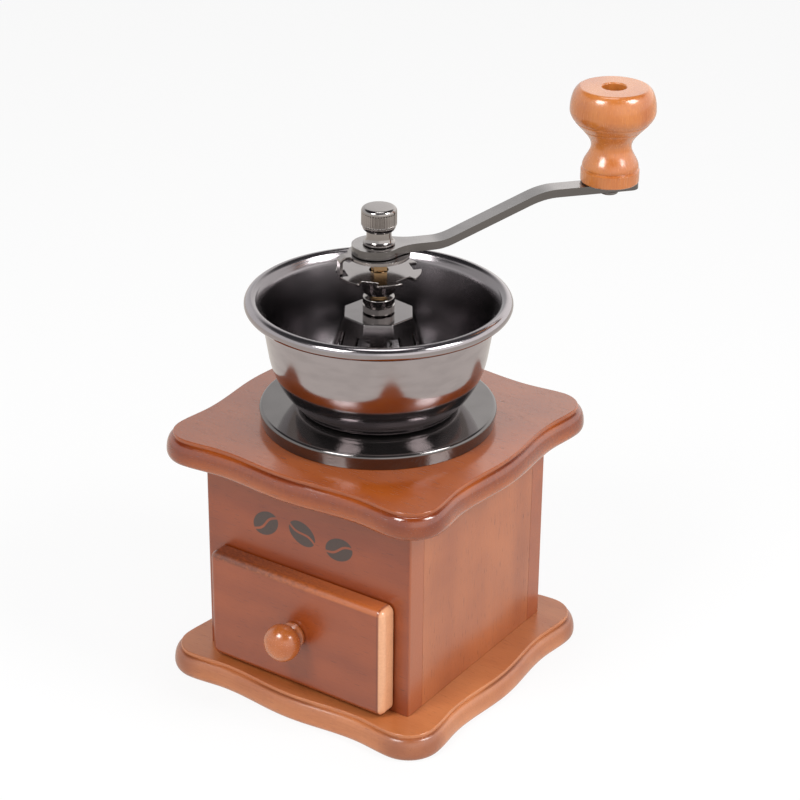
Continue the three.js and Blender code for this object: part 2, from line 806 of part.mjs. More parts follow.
// Half width of the arm: round boss, blend, straight bar, round tip.
function armHalf(distance) {
  const tip = armRadius + armTail - armWidth / 2;
  if (distance < bossEnd) {
    return Math.sqrt(Math.max(armBossRadius ** 2 - (distance + armBossBack) ** 2, 0));
  }
  if (distance < blendEnd) {
    return armWidth / 2 + armBlend - Math.sqrt(armBlend ** 2 - (blendEnd - distance) ** 2);
  }
  if (distance <= tip) return armWidth / 2;
  return Math.sqrt(Math.max((armWidth / 2) ** 2 - (distance - tip) ** 2, 0));
}

function crankArm() {
  const tip = armRadius + armTail - armWidth / 2;
  const boss = arc(-armBossBack, 0, armBossRadius, armBossRadius, 174, 6, 14).map(([x]) => x);
  const spread = (from, to, count) =>
    Array.from({ length: count }, (_, i) => from + ((to - from) * (i + 1)) / count);
  const lower = bendSpan(armLowerBend) / 2;
  const upper = bendSpan(armUpperBend) / 2;
  const armBendEnd = armBendStart + armRun;
  const stations = [
    ...boss.filter((x) => x < bossEnd),
    ...spread(bossEnd, blendEnd, 4).slice(0, -1),
    ...spread(Math.max(blendEnd, armBendStart - lower), armBendStart + lower, 5),
    ...spread(armBendEnd - upper, armBendEnd + upper, 6),
    tip,
    ...arc(tip, 0, armWidth / 2, armWidth / 2, 60, 6, 3).map(([x]) => x),
  ];
  const bar = loft(stations.map((distance) => {
    const half = armHalf(distance);
    const low = armBottom + armLift(distance);
    const high = low + armThickness;
    return [[distance, -half, low], [distance, half, low], [distance, half, high], [distance, -half, high]];
  }));
  const slot = driveSquare / 2 + gap;
  const square = block([-slot, -slot, armBottom - overrun], [slot, slot, armTop + overrun]);
  const padBottom = armBottom + armLift(armRadius);
  const hole = rod(pinRadius + gap, padBottom - overrun, padBottom + armThickness + overrun, small);
  return cut(bar, square, hole.translate(armRadius, 0, 0));
}

function capNut() {
  const neckBottom = capFootHeight + capFlare;
  const neckTop = neckBottom + capNeckHeight;
  const bandBottom = neckTop + capUnder;
  const bandTop = bandBottom + capKnurl;
  const facets = capFlutes * 2;
  const ring = (radius, level, depth = 0) => Array.from({ length: facets }, (_, i) => {
    const angle = turn((360 * i) / facets);
    const r = radius - (i % 2) * depth;
    return [r * Math.cos(angle), r * Math.sin(angle), capBottom + level];
  });
  const flare = arc(capFootRadius, neckBottom, capFootRadius - capNeckRadius, capFlare, -90, -180, 3);
  const underReach = capRadius - capFluteDepth - capNeckRadius;
  const under = arc(capNeckRadius, bandBottom, underReach, capUnder, -90, 0, 2);
  const dome = arc(capCrown, bandTop, capRadius - capCrown, capDome, 15, 90, 2);
  const body = loft([
    ring(capFootRadius, 0),
    ...[...flare, ...under].map(([radius, level]) => ring(radius, level)),
    ring(capRadius, bandBottom + capFluteDepth, capFluteDepth),
    ring(capRadius, bandTop - capFluteDepth, capFluteDepth),
    ...dome.map(([radius, level]) => ring(radius, level)),
  ]);
  const bore = rod(studRadius + gap, capBottom - overrun, armTop + studLength + gap, small);
  return cut(body, bore);
}

// Crank knob and its pin, about their own axis with the knob's foot at zero
function crankKnob() {
  const bore = pinRadius + gap;
  // Radius at a level on an eased curve between two levels.
  const eased = (low, high, from, to) => (level) =>
    from + ((to - from) * (1 - Math.cos((Math.PI * (level - low)) / (high - low)))) / 2;
  const between = (low, high, steps) => Array.from({ length: steps }, (_, i) =>
    low + ((high - low) * (i + 1)) / (steps + 1));
  const lower = eased(knobNeckLevel, knobWaistLevel, knobNeckRadius, knobWaistRadius);
  const upper = eased(knobWaistLevel, knobHeadLevel, knobWaistRadius, knobHeadRadius);
  const lines = knobLineShares.map((share) => knobWaistLevel + share * (knobHeadLevel - knobWaistLevel));
  const plain = between(knobWaistLevel, knobHeadLevel, 8)
    .filter((level) => lines.every((line) => Math.abs(level - line) > knobLineWidth));
  const lined = lines.flatMap((line) => [
    [upper(line - knobLineWidth / 2), line - knobLineWidth / 2],
    [upper(line) - knobLineDepth, line],
    [upper(line + knobLineWidth / 2), line + knobLineWidth / 2],
  ]);
  const swell = [...plain.map((level) => [upper(level), level]), ...lined].sort((a, b) => a[1] - b[1]);
  const crown = knobHeadRadius - knobCrownRadius;
  return revolve([
    [bore, 0],
    [knobFootRadius - knobFootRound, 0],
    [knobFootRadius, knobFootRound],
    [knobFootRadius, knobFootHeight],
    [knobNeckRadius - knobLineDepth, (knobFootHeight + knobNeckLevel) / 2],
    [knobNeckRadius, knobNeckLevel],
    ...between(knobNeckLevel, knobWaistLevel, 4).map((level) => [lower(level), level]),
    [knobWaistRadius, knobWaistLevel],
    ...swell,
    ...arc(knobCrownRadius, knobHeadLevel, crown, knobHeight - knobHeadLevel, 0, 90, 5),
    [knobRecessRadius, knobHeight],
    [knobRecessRadius, knobHeight - knobRecessDepth],
    [bore, knobHeight - knobRecessDepth],
  ], medium);
}

function knobPin() {
  const shoulder = knobHeight - knobRecessDepth + gap;
  const padBottom = -2 * gap - armThickness;
  return revolve([
    [0, padBottom - pinUpset],
    [pinRadius, padBottom - pinUpset],
    [pinRadius + pinUpset, padBottom],
    [pinRadius, padBottom],
    [pinRadius, shoulder],
    [pinHeadRadius, shoulder],
    [pinHeadRadius, shoulder + pinHeadHeight / 2],
    [pinHeadRadius - pinHeadHeight / 2, shoulder + pinHeadHeight],
    [0, shoulder + pinHeadHeight],
  ], small);
}

// Drawer
const trayHalf = drawerOpeningHalf - runningGap;
const trayBottom = caseBottom + gap;
const trayFront = drawerFrontBack + seam;
const trayBack = caseHalf - panelThickness - drawerBackRoom;

function drawerFront() {
  const middle = drawerFrontBottom + drawerFrontHeight / 2;
  const outline = (inset, y) => {
    const radius = drawerFrontRound;
    const half = [drawerFrontHalf - radius, drawerFrontHeight / 2 - radius];
    return [[1, 1], [-1, 1], [-1, -1], [1, -1]].flatMap(([sx, sz], k) =>
      arc(sx * half[0], sz * half[1], radius - inset, radius - inset, 90 * k, 90 * (k + 1), 3)
        .map(([x, z]) => [x, y, middle + z]));
  };
  const shoulder = drawerFrontFace + drawerFrontRound;
  const inside = drawerFrontRound * (1 - faceFlatShare);
  const round = arc(inside, shoulder, inside, drawerFrontRound, 180, 270, 3);
  const slab = loft([outline(0, drawerFrontBack), ...round.map(([inset, y]) => outline(inset, y))]);
  const hole = rod(pullScrewRadius + gap, -overrun, drawerFrontThickness + overrun, small);
  return cut(slab, hole.rotateX(turn(90)).translate(0, drawerFrontBack, pullLevel));
}

function traySide(side) {
  const [inner, outer] = [side * (trayHalf - drawerWall), side * trayHalf];
  return block([Math.min(inner, outer), trayFront, trayBottom],
    [Math.max(inner, outer), trayBack, trayBottom + drawerBoxHeight]);
}

const trayInside = trayHalf - drawerWall - seam;

const trayBackWall = () => block([-trayInside, trayBack - drawerWall, trayBottom],
  [trayInside, trayBack, trayBottom + drawerBoxHeight]);

const trayFloor = () => block([-trayInside, trayFront, trayBottom + drawerFloorRise],
  [trayInside, trayBack - drawerWall - seam, trayBottom + drawerFloorRise + drawerFloor]);

// The knob and its screw lie along +Z here, from the drawer's face outward.
function drawerKnob() {
  const bore = pullScrewRadius + gap;
  const hollow = pullScrewReach + gap;
  const headCentre = pullLength - pullHeadRadius * pullFlatShare;
  const neckAngle = -Math.acos(pullNeckRadius / pullHeadRadius) / turn(1);
  return revolve([
    [0, hollow],
    [bore, hollow],
    [bore, 0],
    [pullFootRadius, 0],
    [pullFootRadius, pullFootHeight],
    [pullNeckRadius, pullFootHeight * 2],
    ...arc(0, headCentre, pullHeadRadius, pullHeadRadius * pullFlatShare, neckAngle, 90, 8).slice(0, -1),
    [0, pullLength],
  ], medium);
}

function pullScrew() {
  const head = -drawerFrontThickness - seam - gap;
  return revolve([
    [0, head - pullScrewHeadHeight],
    [pullScrewHeadRadius - pullScrewHeadHeight / 2, head - pullScrewHeadHeight],
    [pullScrewHeadRadius, head],
    [pullScrewRadius, head],
    [pullScrewRadius, pullScrewReach - pullScrewRadius],
    [0, pullScrewReach],
  ], small);
}

// Assembly
const numbered = (name, geometry, places, look) =>
  places.map(([x, y], i) => piece(`${name}_${i + 1}`, geometry().translate(x, y, 0), look));

const caseGroup = group(
  piece("base_plate", basePlate(), wood),
  piece("front_panel", frontPanel(), wood),
  piece("back_panel", backPanel(), wood),
  piece("left_side_panel", sidePanel(-1), wood),
  piece("right_side_panel", sidePanel(1), wood),
  piece("top_plate", topPlate(), woodDark),
  ...numbered("base_screw", baseScrew, screwPlaces, steel),
  piece("flange_collar", flangeCollar(), blackNickel),
  piece("hopper_bowl", hopperBowl(), blackNickel),
  piece("bearing_bridge", bearingBridge(), blackNickel),
  piece("shaft_bush", shaftBush(), steel),
  piece("burr_carrier", burrCarrier(), steel),
  ...numbered("carrier_screw", carrierScrew, carrierPlaces, steel),
  piece("outer_burr_ring", outerBurrRing(), iron),
);

const knobGroup = group(
  piece("crank_knob", crankKnob(), beech),
  piece("knob_pin", knobPin(), steel),
);
knobGroup.position.set(armRadius, 0, knobBottom);

const crankGroup = group(
  piece("grinder_shaft", grinderShaft(), brass),
  piece("cone_burr", coneBurr(), iron),
  piece("burr_spring", burrSpring(), steel),
  piece("burr_washer", burrWasher(), steel),
  piece("burr_nut", burrNut(), steel),
  piece("adjusting_nut", adjustingNut(), blackNickel),
  piece("lock_plate", lockPlate(), blackNickel),
  piece("crank_arm", crankArm(), steel),
  piece("cap_nut", capNut(), steel),
  knobGroup,
);
crankGroup.rotation.z = turn(crankTurn);

const pullGroup = group(
  piece("drawer_knob", drawerKnob(), beech),
  piece("drawer_knob_screw", pullScrew(), steel),
);
pullGroup.rotation.x = turn(90);
pullGroup.position.set(0, drawerFrontFace - seam, pullLevel);

const drawerGroup = group(
  piece("drawer_front", drawerFront(), woodDark),
  piece("drawer_left_side", traySide(-1), wood),
  piece("drawer_right_side", traySide(1), wood),
  piece("drawer_back", trayBackWall(), wood),
  piece("drawer_bottom", trayFloor(), wood),
  pullGroup,
);

export default group(caseGroup, crankGroup, drawerGroup);
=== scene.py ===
"""Manual coffee grinder: stained wood, black nickel and steel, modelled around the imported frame."""

import json
from math import acos, asin, atan2, cos, degrees, hypot, pi, radians, sin, sqrt, tan

import bpy
from mathutils import Matrix, Vector


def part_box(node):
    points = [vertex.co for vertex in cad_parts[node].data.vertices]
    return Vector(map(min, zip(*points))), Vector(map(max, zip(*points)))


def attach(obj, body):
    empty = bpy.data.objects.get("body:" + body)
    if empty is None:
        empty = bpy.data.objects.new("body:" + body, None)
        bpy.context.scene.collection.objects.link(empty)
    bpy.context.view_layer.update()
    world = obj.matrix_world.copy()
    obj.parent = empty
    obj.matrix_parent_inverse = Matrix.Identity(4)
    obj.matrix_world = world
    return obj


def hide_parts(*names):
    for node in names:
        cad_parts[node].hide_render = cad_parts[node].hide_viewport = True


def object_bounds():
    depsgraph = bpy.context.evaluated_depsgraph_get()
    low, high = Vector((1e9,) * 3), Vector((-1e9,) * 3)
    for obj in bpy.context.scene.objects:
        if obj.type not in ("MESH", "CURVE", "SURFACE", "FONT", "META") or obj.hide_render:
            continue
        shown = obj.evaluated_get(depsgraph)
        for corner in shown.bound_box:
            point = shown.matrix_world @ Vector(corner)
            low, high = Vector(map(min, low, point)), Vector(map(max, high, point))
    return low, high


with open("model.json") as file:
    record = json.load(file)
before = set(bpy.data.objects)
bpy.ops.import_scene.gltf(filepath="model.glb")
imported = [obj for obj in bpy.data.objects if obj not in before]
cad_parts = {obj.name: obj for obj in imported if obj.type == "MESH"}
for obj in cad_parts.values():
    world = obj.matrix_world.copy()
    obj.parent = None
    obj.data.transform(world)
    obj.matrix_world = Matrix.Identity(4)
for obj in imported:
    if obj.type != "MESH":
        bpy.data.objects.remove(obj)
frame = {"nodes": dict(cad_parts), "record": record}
cad_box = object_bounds()

MM = 0.001
FULL_TURN = 2 * pi
LATHE_STEPS = 96
FINE_STEPS = 160
SAME_PLACE = MM / 200  # points closer than this are one point


# Selecting, finishing and joining


def only(obj):
    """Selects one object alone and makes it the active one."""
    if bpy.context.mode != "OBJECT":
        bpy.ops.object.mode_set(mode="OBJECT")
    bpy.ops.object.select_all(action="DESELECT")
    bpy.context.tool_settings.mesh_select_mode = (True, False, False)
    if obj:
        obj.select_set(True)
        bpy.context.view_layer.objects.active = obj
    return obj


def named(name):
    """The active object, under a name of its own."""
    obj = bpy.context.object
    obj.name = obj.data.name = name
    return obj


def added(primitive, name, **settings):
    only(None)
    primitive(**settings)
    return named(name)


def editing(obj):
    only(obj)
    bpy.ops.object.mode_set(mode="EDIT")
    bpy.ops.mesh.select_all(action="SELECT")


def merged(obj):
    """Joins coinciding points and turns every face outward."""
    editing(obj)
    bpy.ops.mesh.remove_doubles(threshold=SAME_PLACE)
    bpy.ops.mesh.normals_make_consistent(inside=False)
    return only(obj)


def settled(obj):
    """Puts the object's place, turn and scale into its mesh."""
    only(obj)
    bpy.ops.object.transform_apply(location=True, rotation=True, scale=True)
    return obj


def placed(obj, location=(0, 0, 0), turn=(0, 0, 0)):
    obj.location = location
    obj.rotation_euler = turn
    return settled(obj)


def modified(obj, kind, **settings):
    only(obj)
    modifier = obj.modifiers.new(kind.title(), kind)
    for key, value in settings.items():
        setattr(modifier, key, value)
    bpy.ops.object.modifier_apply(modifier=modifier.name)
    return obj


def softened(obj, width, segments=3, angle=35):
    """Rounds the edges that are sharper than an angle."""
    return modified(obj, "BEVEL", width=width, segments=segments, limit_method="ANGLE",
                    angle_limit=radians(angle), harden_normals=False)


def shaded(obj, angle):
    """Smooth over its roundings, with large faces kept flat."""
    only(obj)
    bpy.ops.object.shade_smooth_by_angle(angle=radians(angle))
    return modified(obj, "WEIGHTED_NORMAL", keep_sharp=True)


def combined(obj, tool, operation="DIFFERENCE"):
    """Boolean of a piece with a tool, which is used up."""
    modified(obj, "BOOLEAN", object=tool, operation=operation, solver="EXACT", use_self=True)
    bpy.data.objects.remove(tool)
    return obj


def copied(obj, name):
    twin = obj.copy()
    twin.data = obj.data.copy()
    twin.name = twin.data.name = name
    bpy.context.collection.objects.link(twin)
    return twin


def chosen(obj, part, test):
    """Selects the faces whose middle and normal pass a test, or the edges whose two ends do."""
    only(obj)
    mesh = obj.data
    for group in (mesh.vertices, mesh.edges, mesh.polygons):
        group.foreach_set("select", [False] * len(group))
    bpy.context.tool_settings.mesh_select_mode = (False, part == "EDGE", part == "FACE")
    if part == "FACE":
        for face in mesh.polygons:
            face.select = test(face.center, face.normal)
    else:
        for edge in mesh.edges:
            edge.select = test(*[mesh.vertices[i].co for i in edge.vertices])
    bpy.ops.object.mode_set(mode="EDIT")


def rounded(obj, width, segments, test):
    """Rounds the edges whose two ends pass a test."""
    chosen(obj, "EDGE", test)
    bpy.ops.mesh.bevel(offset=width, segments=segments, affect="EDGES")
    return only(obj)


# Starting shapes


def arc(centre, radius, start, end, steps):
    """Points of an arc in the plane of a profile. The radius may be a pair; angles in degrees."""
    across, up = radius if isinstance(radius, tuple) else (radius, radius)
    angles = [radians(start + (end - start) * i / steps) for i in range(steps + 1)]
    return [(centre[0] + across * cos(a), centre[1] + up * sin(a)) for a in angles]


def eased(start, end, steps):
    """Points between two (radius, height) places, with an upright tangent at both."""
    shares = [(i + 1) / (steps + 1) for i in range(steps)]
    swing = [(1 - cos(pi * share)) / 2 for share in shares]
    return [(start[0] + (end[0] - start[0]) * s, start[1] + (end[1] - start[1]) * share)
            for s, share in zip(swing, shares)]


def point(name, x, z):
    """A mesh of one point, left in edit mode."""
    obj = added(bpy.ops.mesh.primitive_plane_add, name, size=MM)
    editing(obj)
    bpy.ops.mesh.merge(type="CENTER")
    bpy.ops.transform.translate(value=(x, 0, z))
    return obj


def drawn(route):
    """Extrudes what is selected along the (x, z) places of a route."""
    for (x0, z0), (x1, z1) in zip(route, route[1:]):
        bpy.ops.mesh.extrude_region_move(TRANSFORM_OT_translate={"value": (x1 - x0, 0, z1 - z0)})


def turned(name, profile, steps=LATHE_STEPS):
    """A lathe piece: a point is drawn along the (radius, height) profile and spun about Z."""
    obj = point(name, *profile[0])
    drawn(profile)
    bpy.ops.mesh.select_all(action="SELECT")
    bpy.ops.mesh.spin(steps=steps, angle=FULL_TURN, center=(0, 0, 0), axis=(0, 0, 1))
    return merged(obj)


def ring(name, profile, steps=LATHE_STEPS):
    """A lathe piece whose profile closes on itself."""
    return turned(name, [*profile, profile[0]], steps)


def block(name, low, high):
    low, high = Vector(low), Vector(high)
    return settled(added(bpy.ops.mesh.primitive_cube_add, name, size=1,
                         location=(low + high) / 2, scale=high - low))


def rod(name, radius, bottom, top, steps=LATHE_STEPS):
    return settled(added(bpy.ops.mesh.primitive_cylinder_add, name, vertices=steps, radius=radius,
                         depth=top - bottom, location=(0, 0, (bottom + top) / 2)))


def board(name, node):
    """A block of a node's size, in its place."""
    return block(name, *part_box(node))


def middle_of(node):
    low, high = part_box(node)
    return (low + high) / 2


# Shader maths


def srgb(red, green, blue):
    """A colour as it looks on screen, 0 to 255, as Blender's linear colour."""
    shares = [c / 255 for c in (red, green, blue)]
    return (*[c / 12.92 if c < 0.04045 else ((c + 0.055) / 1.055) ** 2.4 for c in shares], 1)


def dimmed(tone, share):
    return (*[c * share for c in tone], 1)


def operator(operation, reflected=False):
    """A method that joins a node's output and another value with a maths node."""
    def joined(self, other):
        return self.maths(operation, *((other, self) if reflected else (self, other)))

    return joined


class Value:
    """A node's output, which sums and products take as they take a number."""

    def __init__(self, recipe, socket):
        self.recipe, self.socket = recipe, socket

    def maths(self, operation, *operands):
        return self.recipe.node("ShaderNodeMath", dict(enumerate(operands)), operation=operation)

    __add__, __radd__ = operator("ADD"), operator("ADD", True)
    __sub__, __rsub__ = operator("SUBTRACT"), operator("SUBTRACT", True)
    __mul__, __rmul__ = operator("MULTIPLY"), operator("MULTIPLY", True)
    __truediv__, __pow__ = operator("DIVIDE"), operator("POWER")

    def __abs__(self):
        return self.maths("ABSOLUTE", self)

    def rising(self, low, high):
        """0 below a level, 1 above another, and smooth between them."""
        return self.recipe.node("ShaderNodeMapRange",
                                {"Value": self, "From Min": low, "From Max": high},
                                interpolation_type="SMOOTHSTEP")


class Recipe:
    """A node tree under construction."""

    def __init__(self, owner):
        self.owner = owner
        owner.use_nodes = True
        self.tree = owner.node_tree
        self.tree.nodes.clear()

    def node(self, kind, inputs=None, output=0, **settings):
        """Adds a node, sets its settings, then fills or links its sockets."""
        made = self.tree.nodes.new(kind)
        for key, value in settings.items():
            setattr(made, key, value)
        for key, value in (inputs or {}).items():
            if isinstance(value, Value):
                self.tree.links.new(value.socket, made.inputs[key])
            else:
                made.inputs[key].default_value = value
        return Value(self, made.outputs[output]) if made.outputs else made

    def place(self):
        return self.node("ShaderNodeTexCoord", output="Object")

    def axes(self, vector):
        split = self.node("ShaderNodeSeparateXYZ", {0: vector}).socket.node
        return [Value(self, socket) for socket in split.outputs]

    def mapped(self, vector, scale=(1, 1, 1), location=(0, 0, 0)):
        return self.node("ShaderNodeMapping",
                         {"Vector": vector, "Scale": scale, "Location": location})

    def noise(self, vector, size, detail=2, roughness=0.5):
        """Noise of a feature size, in metres."""
        return self.node("ShaderNodeTexNoise", {"Vector": vector, "Scale": 1 / size,
                                                "Detail": detail, "Roughness": roughness})

    def blend(self, factor, first, second, mode="MIX"):
        return self.node("ShaderNodeMix", {0: factor, 6: first, 7: second}, output=2,
                         data_type="RGBA", blend_type=mode)

    def bump(self, height, depth, strength=0.5):
        return self.node("ShaderNodeBump",
                         {"Height": height, "Distance": depth, "Strength": strength})

    def surface(self, **sockets):
        names = {key.replace("_", " "): value for key, value in sockets.items()}
        self.node("ShaderNodeOutputMaterial",
                  {"Surface": self.node("ShaderNodeBsdfPrincipled", names)})
        return self.owner


def recipe(name):
    return Recipe(bpy.data.materials.new(name))


# Finishes

GRAIN_STRETCH = 14  # a fibre's length over its width
FIBRE = 0.5 * MM
PORE = 0.34 * MM
MOTTLE = 16 * MM
CLOUD = 22 * MM
RING_WIDTH = 5.5 * MM
LACQUER_RIPPLE = 0.9 * MM
WOOD_RELIEF = 0.05 * MM
WOOD_IOR, LACQUER_IOR = 1.65, 1.5
SMEAR = 9 * MM
GRIT = 0.3 * MM
METAL_RELIEF = 0.02 * MM


def stained_wood(name, along, light, dark, pore, shift=(0, 0, 0), gloss=0.34, coat=0.6,
                 coat_rough=0.22, touch=None):
    """Closed-grain wood, stained and lacquered. A touch recolours places on the piece."""
    r = recipe(name)
    place = r.place()
    stretch = tuple(1 / GRAIN_STRETCH if axis == along else 1 for axis in "XYZ")
    grain = r.mapped(place, stretch, shift)
    drift = r.noise(grain, MOTTLE, 3)
    heart = r.mapped(place, location=tuple(s + 40 * MM for s in shift))
    rings = r.node("ShaderNodeTexWave",
                   {"Vector": heart, "Scale": 0.16 / RING_WIDTH, "Distortion": 5, "Detail": 3,
                    "Detail Scale": 0.6, "Detail Roughness": 0.6},
                   output="Fac", wave_type="RINGS", rings_direction=along)
    fibre = r.noise(grain, FIBRE, 4, 0.6)
    cloud = r.noise(place, CLOUD)
    tone = 0.5
    for pattern, share in ((rings, 0.12), (drift, 0.7), (fibre, 0.45), (cloud, 0.6)):
        tone = tone + share * (pattern - 0.5)
    specks = r.noise(r.mapped(place, stretch, (0.3, 0.2, 0.1)), PORE, 1).rising(0.66, 0.74)
    colour = r.blend(tone.rising(0, 1), dark, light)
    colour = r.blend(specks * 0.5, colour, pore)
    if touch:
        colour = touch(r, place, colour)
    rough = gloss + 0.25 * (fibre - 0.5) + 0.12 * specks
    ripple = r.noise(place, LACQUER_RIPPLE)
    relief = r.bump(fibre * 0.8 - specks * 0.8 + 2 * drift + 1.2 * ripple, WOOD_RELIEF)
    return r.surface(Base_Color=colour, Roughness=rough, Normal=relief, IOR=WOOD_IOR,
                     Coat_Weight=coat * (1.2 - 0.4 * ripple), Coat_Roughness=coat_rough,
                     Coat_IOR=LACQUER_IOR)


def plated(name, tone, rough, grit=0.0, metal=1.0, inside=None, sides=1.0):
    """Metal with faint smears. It may be gritty, and may be painted darker inside or on its upright
    sides as shade.
    """
    r = recipe(name)
    place = r.place()
    smears = r.noise(r.mapped(place, (1, 1, 3)), SMEAR, 3)
    fine = r.noise(place, GRIT, 3, 0.7)
    colour = r.blend(smears.rising(0.35, 0.75), (*tone, 1), dimmed(tone, 0.9))
    rough_here = rough + 0.05 * (smears - 0.45) + grit * 0.3 * (fine - 0.5)
    # painted shade: the inside is darkened, and made rougher
    if inside:
        inside_shade = inside(r, place)
        rough_here = rough_here + inside_shade * (0.07 + 0.08 * (fine - 0.5))
        colour = r.blend(inside_shade, colour, dimmed(tone, 0.4))
    # painted shade: upright sides darker than faces that look up
    if sides < 1:
        level = abs(r.axes(r.node("ShaderNodeTexCoord", output="Normal"))[2]).rising(0.5, 0.8)
        colour = r.blend(level, dimmed(tone, sides), colour)
    relief = r.bump(fine * grit + smears * 0.4, METAL_RELIEF)
    return r.surface(Base_Color=colour, Metallic=metal, Roughness=rough_here, Normal=relief)


# the pore colour also paints the shade in the plates' crease
case_light, case_dark, pore_and_crease_shade = srgb(162, 80, 34), srgb(138, 60, 20), srgb(72, 22, 10)
# the first colour here is painted shade on the plates' beads
plate_painted_shade, panel_end = srgb(104, 34, 10), srgb(156, 78, 36)
# the first two colours paint the shade along the drawer's top edge; the first also draws the darker
# line at its right edge
drawer_shade, drawer_bright, drawer_bare = srgb(92, 38, 14), srgb(182, 96, 42), srgb(226, 166, 124)
print_ink = srgb(44, 32, 29)

shade_inset = 1.5 * MM  # from the bead to where the painted shade starts
shade_reach = 2 * MM
# where the painted shade towards the corners starts, and how far it grows
corner_start, corner_reach = 13 * MM, 9 * MM


def plate_wood(name, node, light, dark, pore, painted_shade_share, gloss, coat_rough):
    """The plates' wood, with painted shade in the crease under the step, on the bead's shoulder and
    towards the corners.
    """
    low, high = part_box(node)
    crease = high.z - plate_step
    edge = high.x - plate_bead - shade_inset

    def moulding(r, place, colour):
        x, y, height = r.axes(place)
        streaks = r.noise(r.mapped(place, (1, 1, 0.15)), 1.2 * MM, 3)
        out = (x.maths("MAXIMUM", abs(x), abs(y)) - edge).rising(0, shade_reach)
        below = 1 - (height - crease).rising(0, 0.3 * MM)
        shoulder = (height - low.z).rising(plate_bead_rise * 0.35, plate_bead_rise) * below
        # painted shade on the bead's shoulder, under the step
        colour = r.blend(out * shoulder * (0.35 + 0.5 * streaks) * painted_shade_share, colour, plate_painted_shade)
        # painted shade towards the outline's corners
        corner = (abs(x) + abs(y) - 2 * edge + corner_start).rising(0, corner_reach)
        colour = r.blend(corner * below * 0.5, colour, plate_painted_shade)
        # painted shade in the crease under the step, in the pores' colour
        crease_shade = 1 - abs(height - crease).rising(0.1 * MM, 0.5 * MM)
        return r.blend(out * crease_shade * 0.45, colour, pore_and_crease_shade)

    return stained_wood(name, "X", light, dark, pore, (0.02, low.z * 1.7, 0.013), gloss,
                        coat_rough=coat_rough, touch=moulding)


def worn_edges(r, place, colour):
    """The drawer's front: painted shade along its top edge, and stain worn off its right edge."""
    low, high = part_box("drawer_front")
    x, _, height = r.axes(place)
    mottle = r.noise(r.mapped(place, (0.6, 1, 1)), 0.8 * MM, 4, 0.7)
    past_top, past_right = height - high.z + drawer_round, x - high.x + drawer_round
    drift = (x - low.x).rising(0, high.x - low.x)
    # painted shade along the top edge: mottled, and lighter towards the right
    top_band_shade = r.blend((mottle + 0.7 * drift).rising(0.3, 1.2), drawer_shade, drawer_bright)
    colour = r.blend(past_top.rising(-0.2 * MM, 0.6 * MM) * 0.9, colour, top_band_shade)
    arris = 1 - abs(past_right).rising(0.1 * MM, 0.5 * MM)
    colour = r.blend(arris * 0.45, colour, drawer_shade)
    bare = past_right.rising(0.2 * MM, 0.8 * MM) * (0.65 + 0.5 * mottle)
    return r.blend(bare, colour, drawer_bare)


bean_length, bean_width, bean_slit = 5.6 * MM, 4.1 * MM, 0.42 * MM
bean_places = ((-16.5 * MM, 63.8 * MM, radians(35)), (-1.5 * MM, 64.6 * MM, radians(-25)),
               (13.5 * MM, 63.4 * MM, radians(20)))


def bean_print(r, place, colour):
    """Three plain coffee beans on the front panel, whose ends are toned as the side panels."""
    x, y, height = r.axes(place)
    front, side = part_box("front_panel")[0].y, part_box("front_panel")[1].x
    colour = r.blend((abs(x) - side + 0.5 * MM).rising(0, 0.4 * MM), colour, panel_end)
    ink = 0
    for across, up, tilt in bean_places:
        along = (x - across) * cos(tilt) + (height - up) * sin(tilt)
        aside = (height - up) * cos(tilt) - (x - across) * sin(tilt)
        reach = ((along / bean_length) ** 2 + (aside / bean_width) ** 2) ** 0.5
        curve = along.maths("SINE", along * (pi / bean_length)) * (bean_width * 0.16)
        slit = abs(aside - curve).rising(bean_slit * 0.8, bean_slit * 1.2)
        ink = ink + (1 - reach.rising(0.97, 1.03)) * slit
    wear = r.noise(place, 0.5 * MM, 3, 0.7).rising(0.2, 0.5)
    on_face = 1 - (y - front).rising(0.3 * MM, 0.6 * MM)
    return r.blend(ink * on_face * (0.75 + 0.2 * wear), colour, print_ink)


# Moulded plates

plate_overhang = 12.7 * MM  # corners' line beyond the case
plate_bulge = 0.75 * MM
plate_valley = 1.25 * MM
valley_share = 0.63
plate_corner = 12.3 * MM
plate_step = 1.3 * MM
plate_bead = 2.3 * MM
plate_bead_rise = 5.2 * MM
plate_under_reach = 1.5 * MM
plate_edge = 0.35 * MM
side_steps = 64
corner_steps = 16
throat_radius = 19.8 * MM
countersink_room = 0.3 * MM


def serpentine(share):
    """How far the edge stands beyond the corners' line, from a side's middle to its corner."""
    if share <= valley_share:
        wave = cos(pi / 2 * share / valley_share) ** 2
        return (plate_bulge + plate_valley) * wave - plate_valley
    rise = (1 - cos(pi * (share - valley_share) / (1 - valley_share))) / 2
    return plate_valley * (rise - 1)


def plate_outline():
    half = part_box("front_panel")[1].x + plate_overhang
    straight = half - plate_corner
    shares = [2 * i / side_steps - 1 for i in range(side_steps + 1)]
    side = [(share * straight, -half - serpentine(abs(share))) for share in shares]
    corner = arc((straight, -straight), plate_corner, -90, 0, corner_steps)[1:-1]
    points = [Vector((*p, 0)) for p in side + corner]
    quarters = [Matrix.Rotation(radians(90 * k), 3, "Z") for k in range(4)]
    return [turn @ p for turn in quarters for p in points]


def edge_run(stations):
    """Draws the selected face in and along by the steps between (inset, height) stations."""
    for (in0, z0), (in1, z1) in zip(stations, stations[1:]):
        if in1 - in0 < SAME_PLACE:
            drawn([(0, z0), (0, z1)])
        else:
            bpy.ops.mesh.inset(thickness=in1 - in0, depth=abs(z1 - z0), use_even_offset=True)


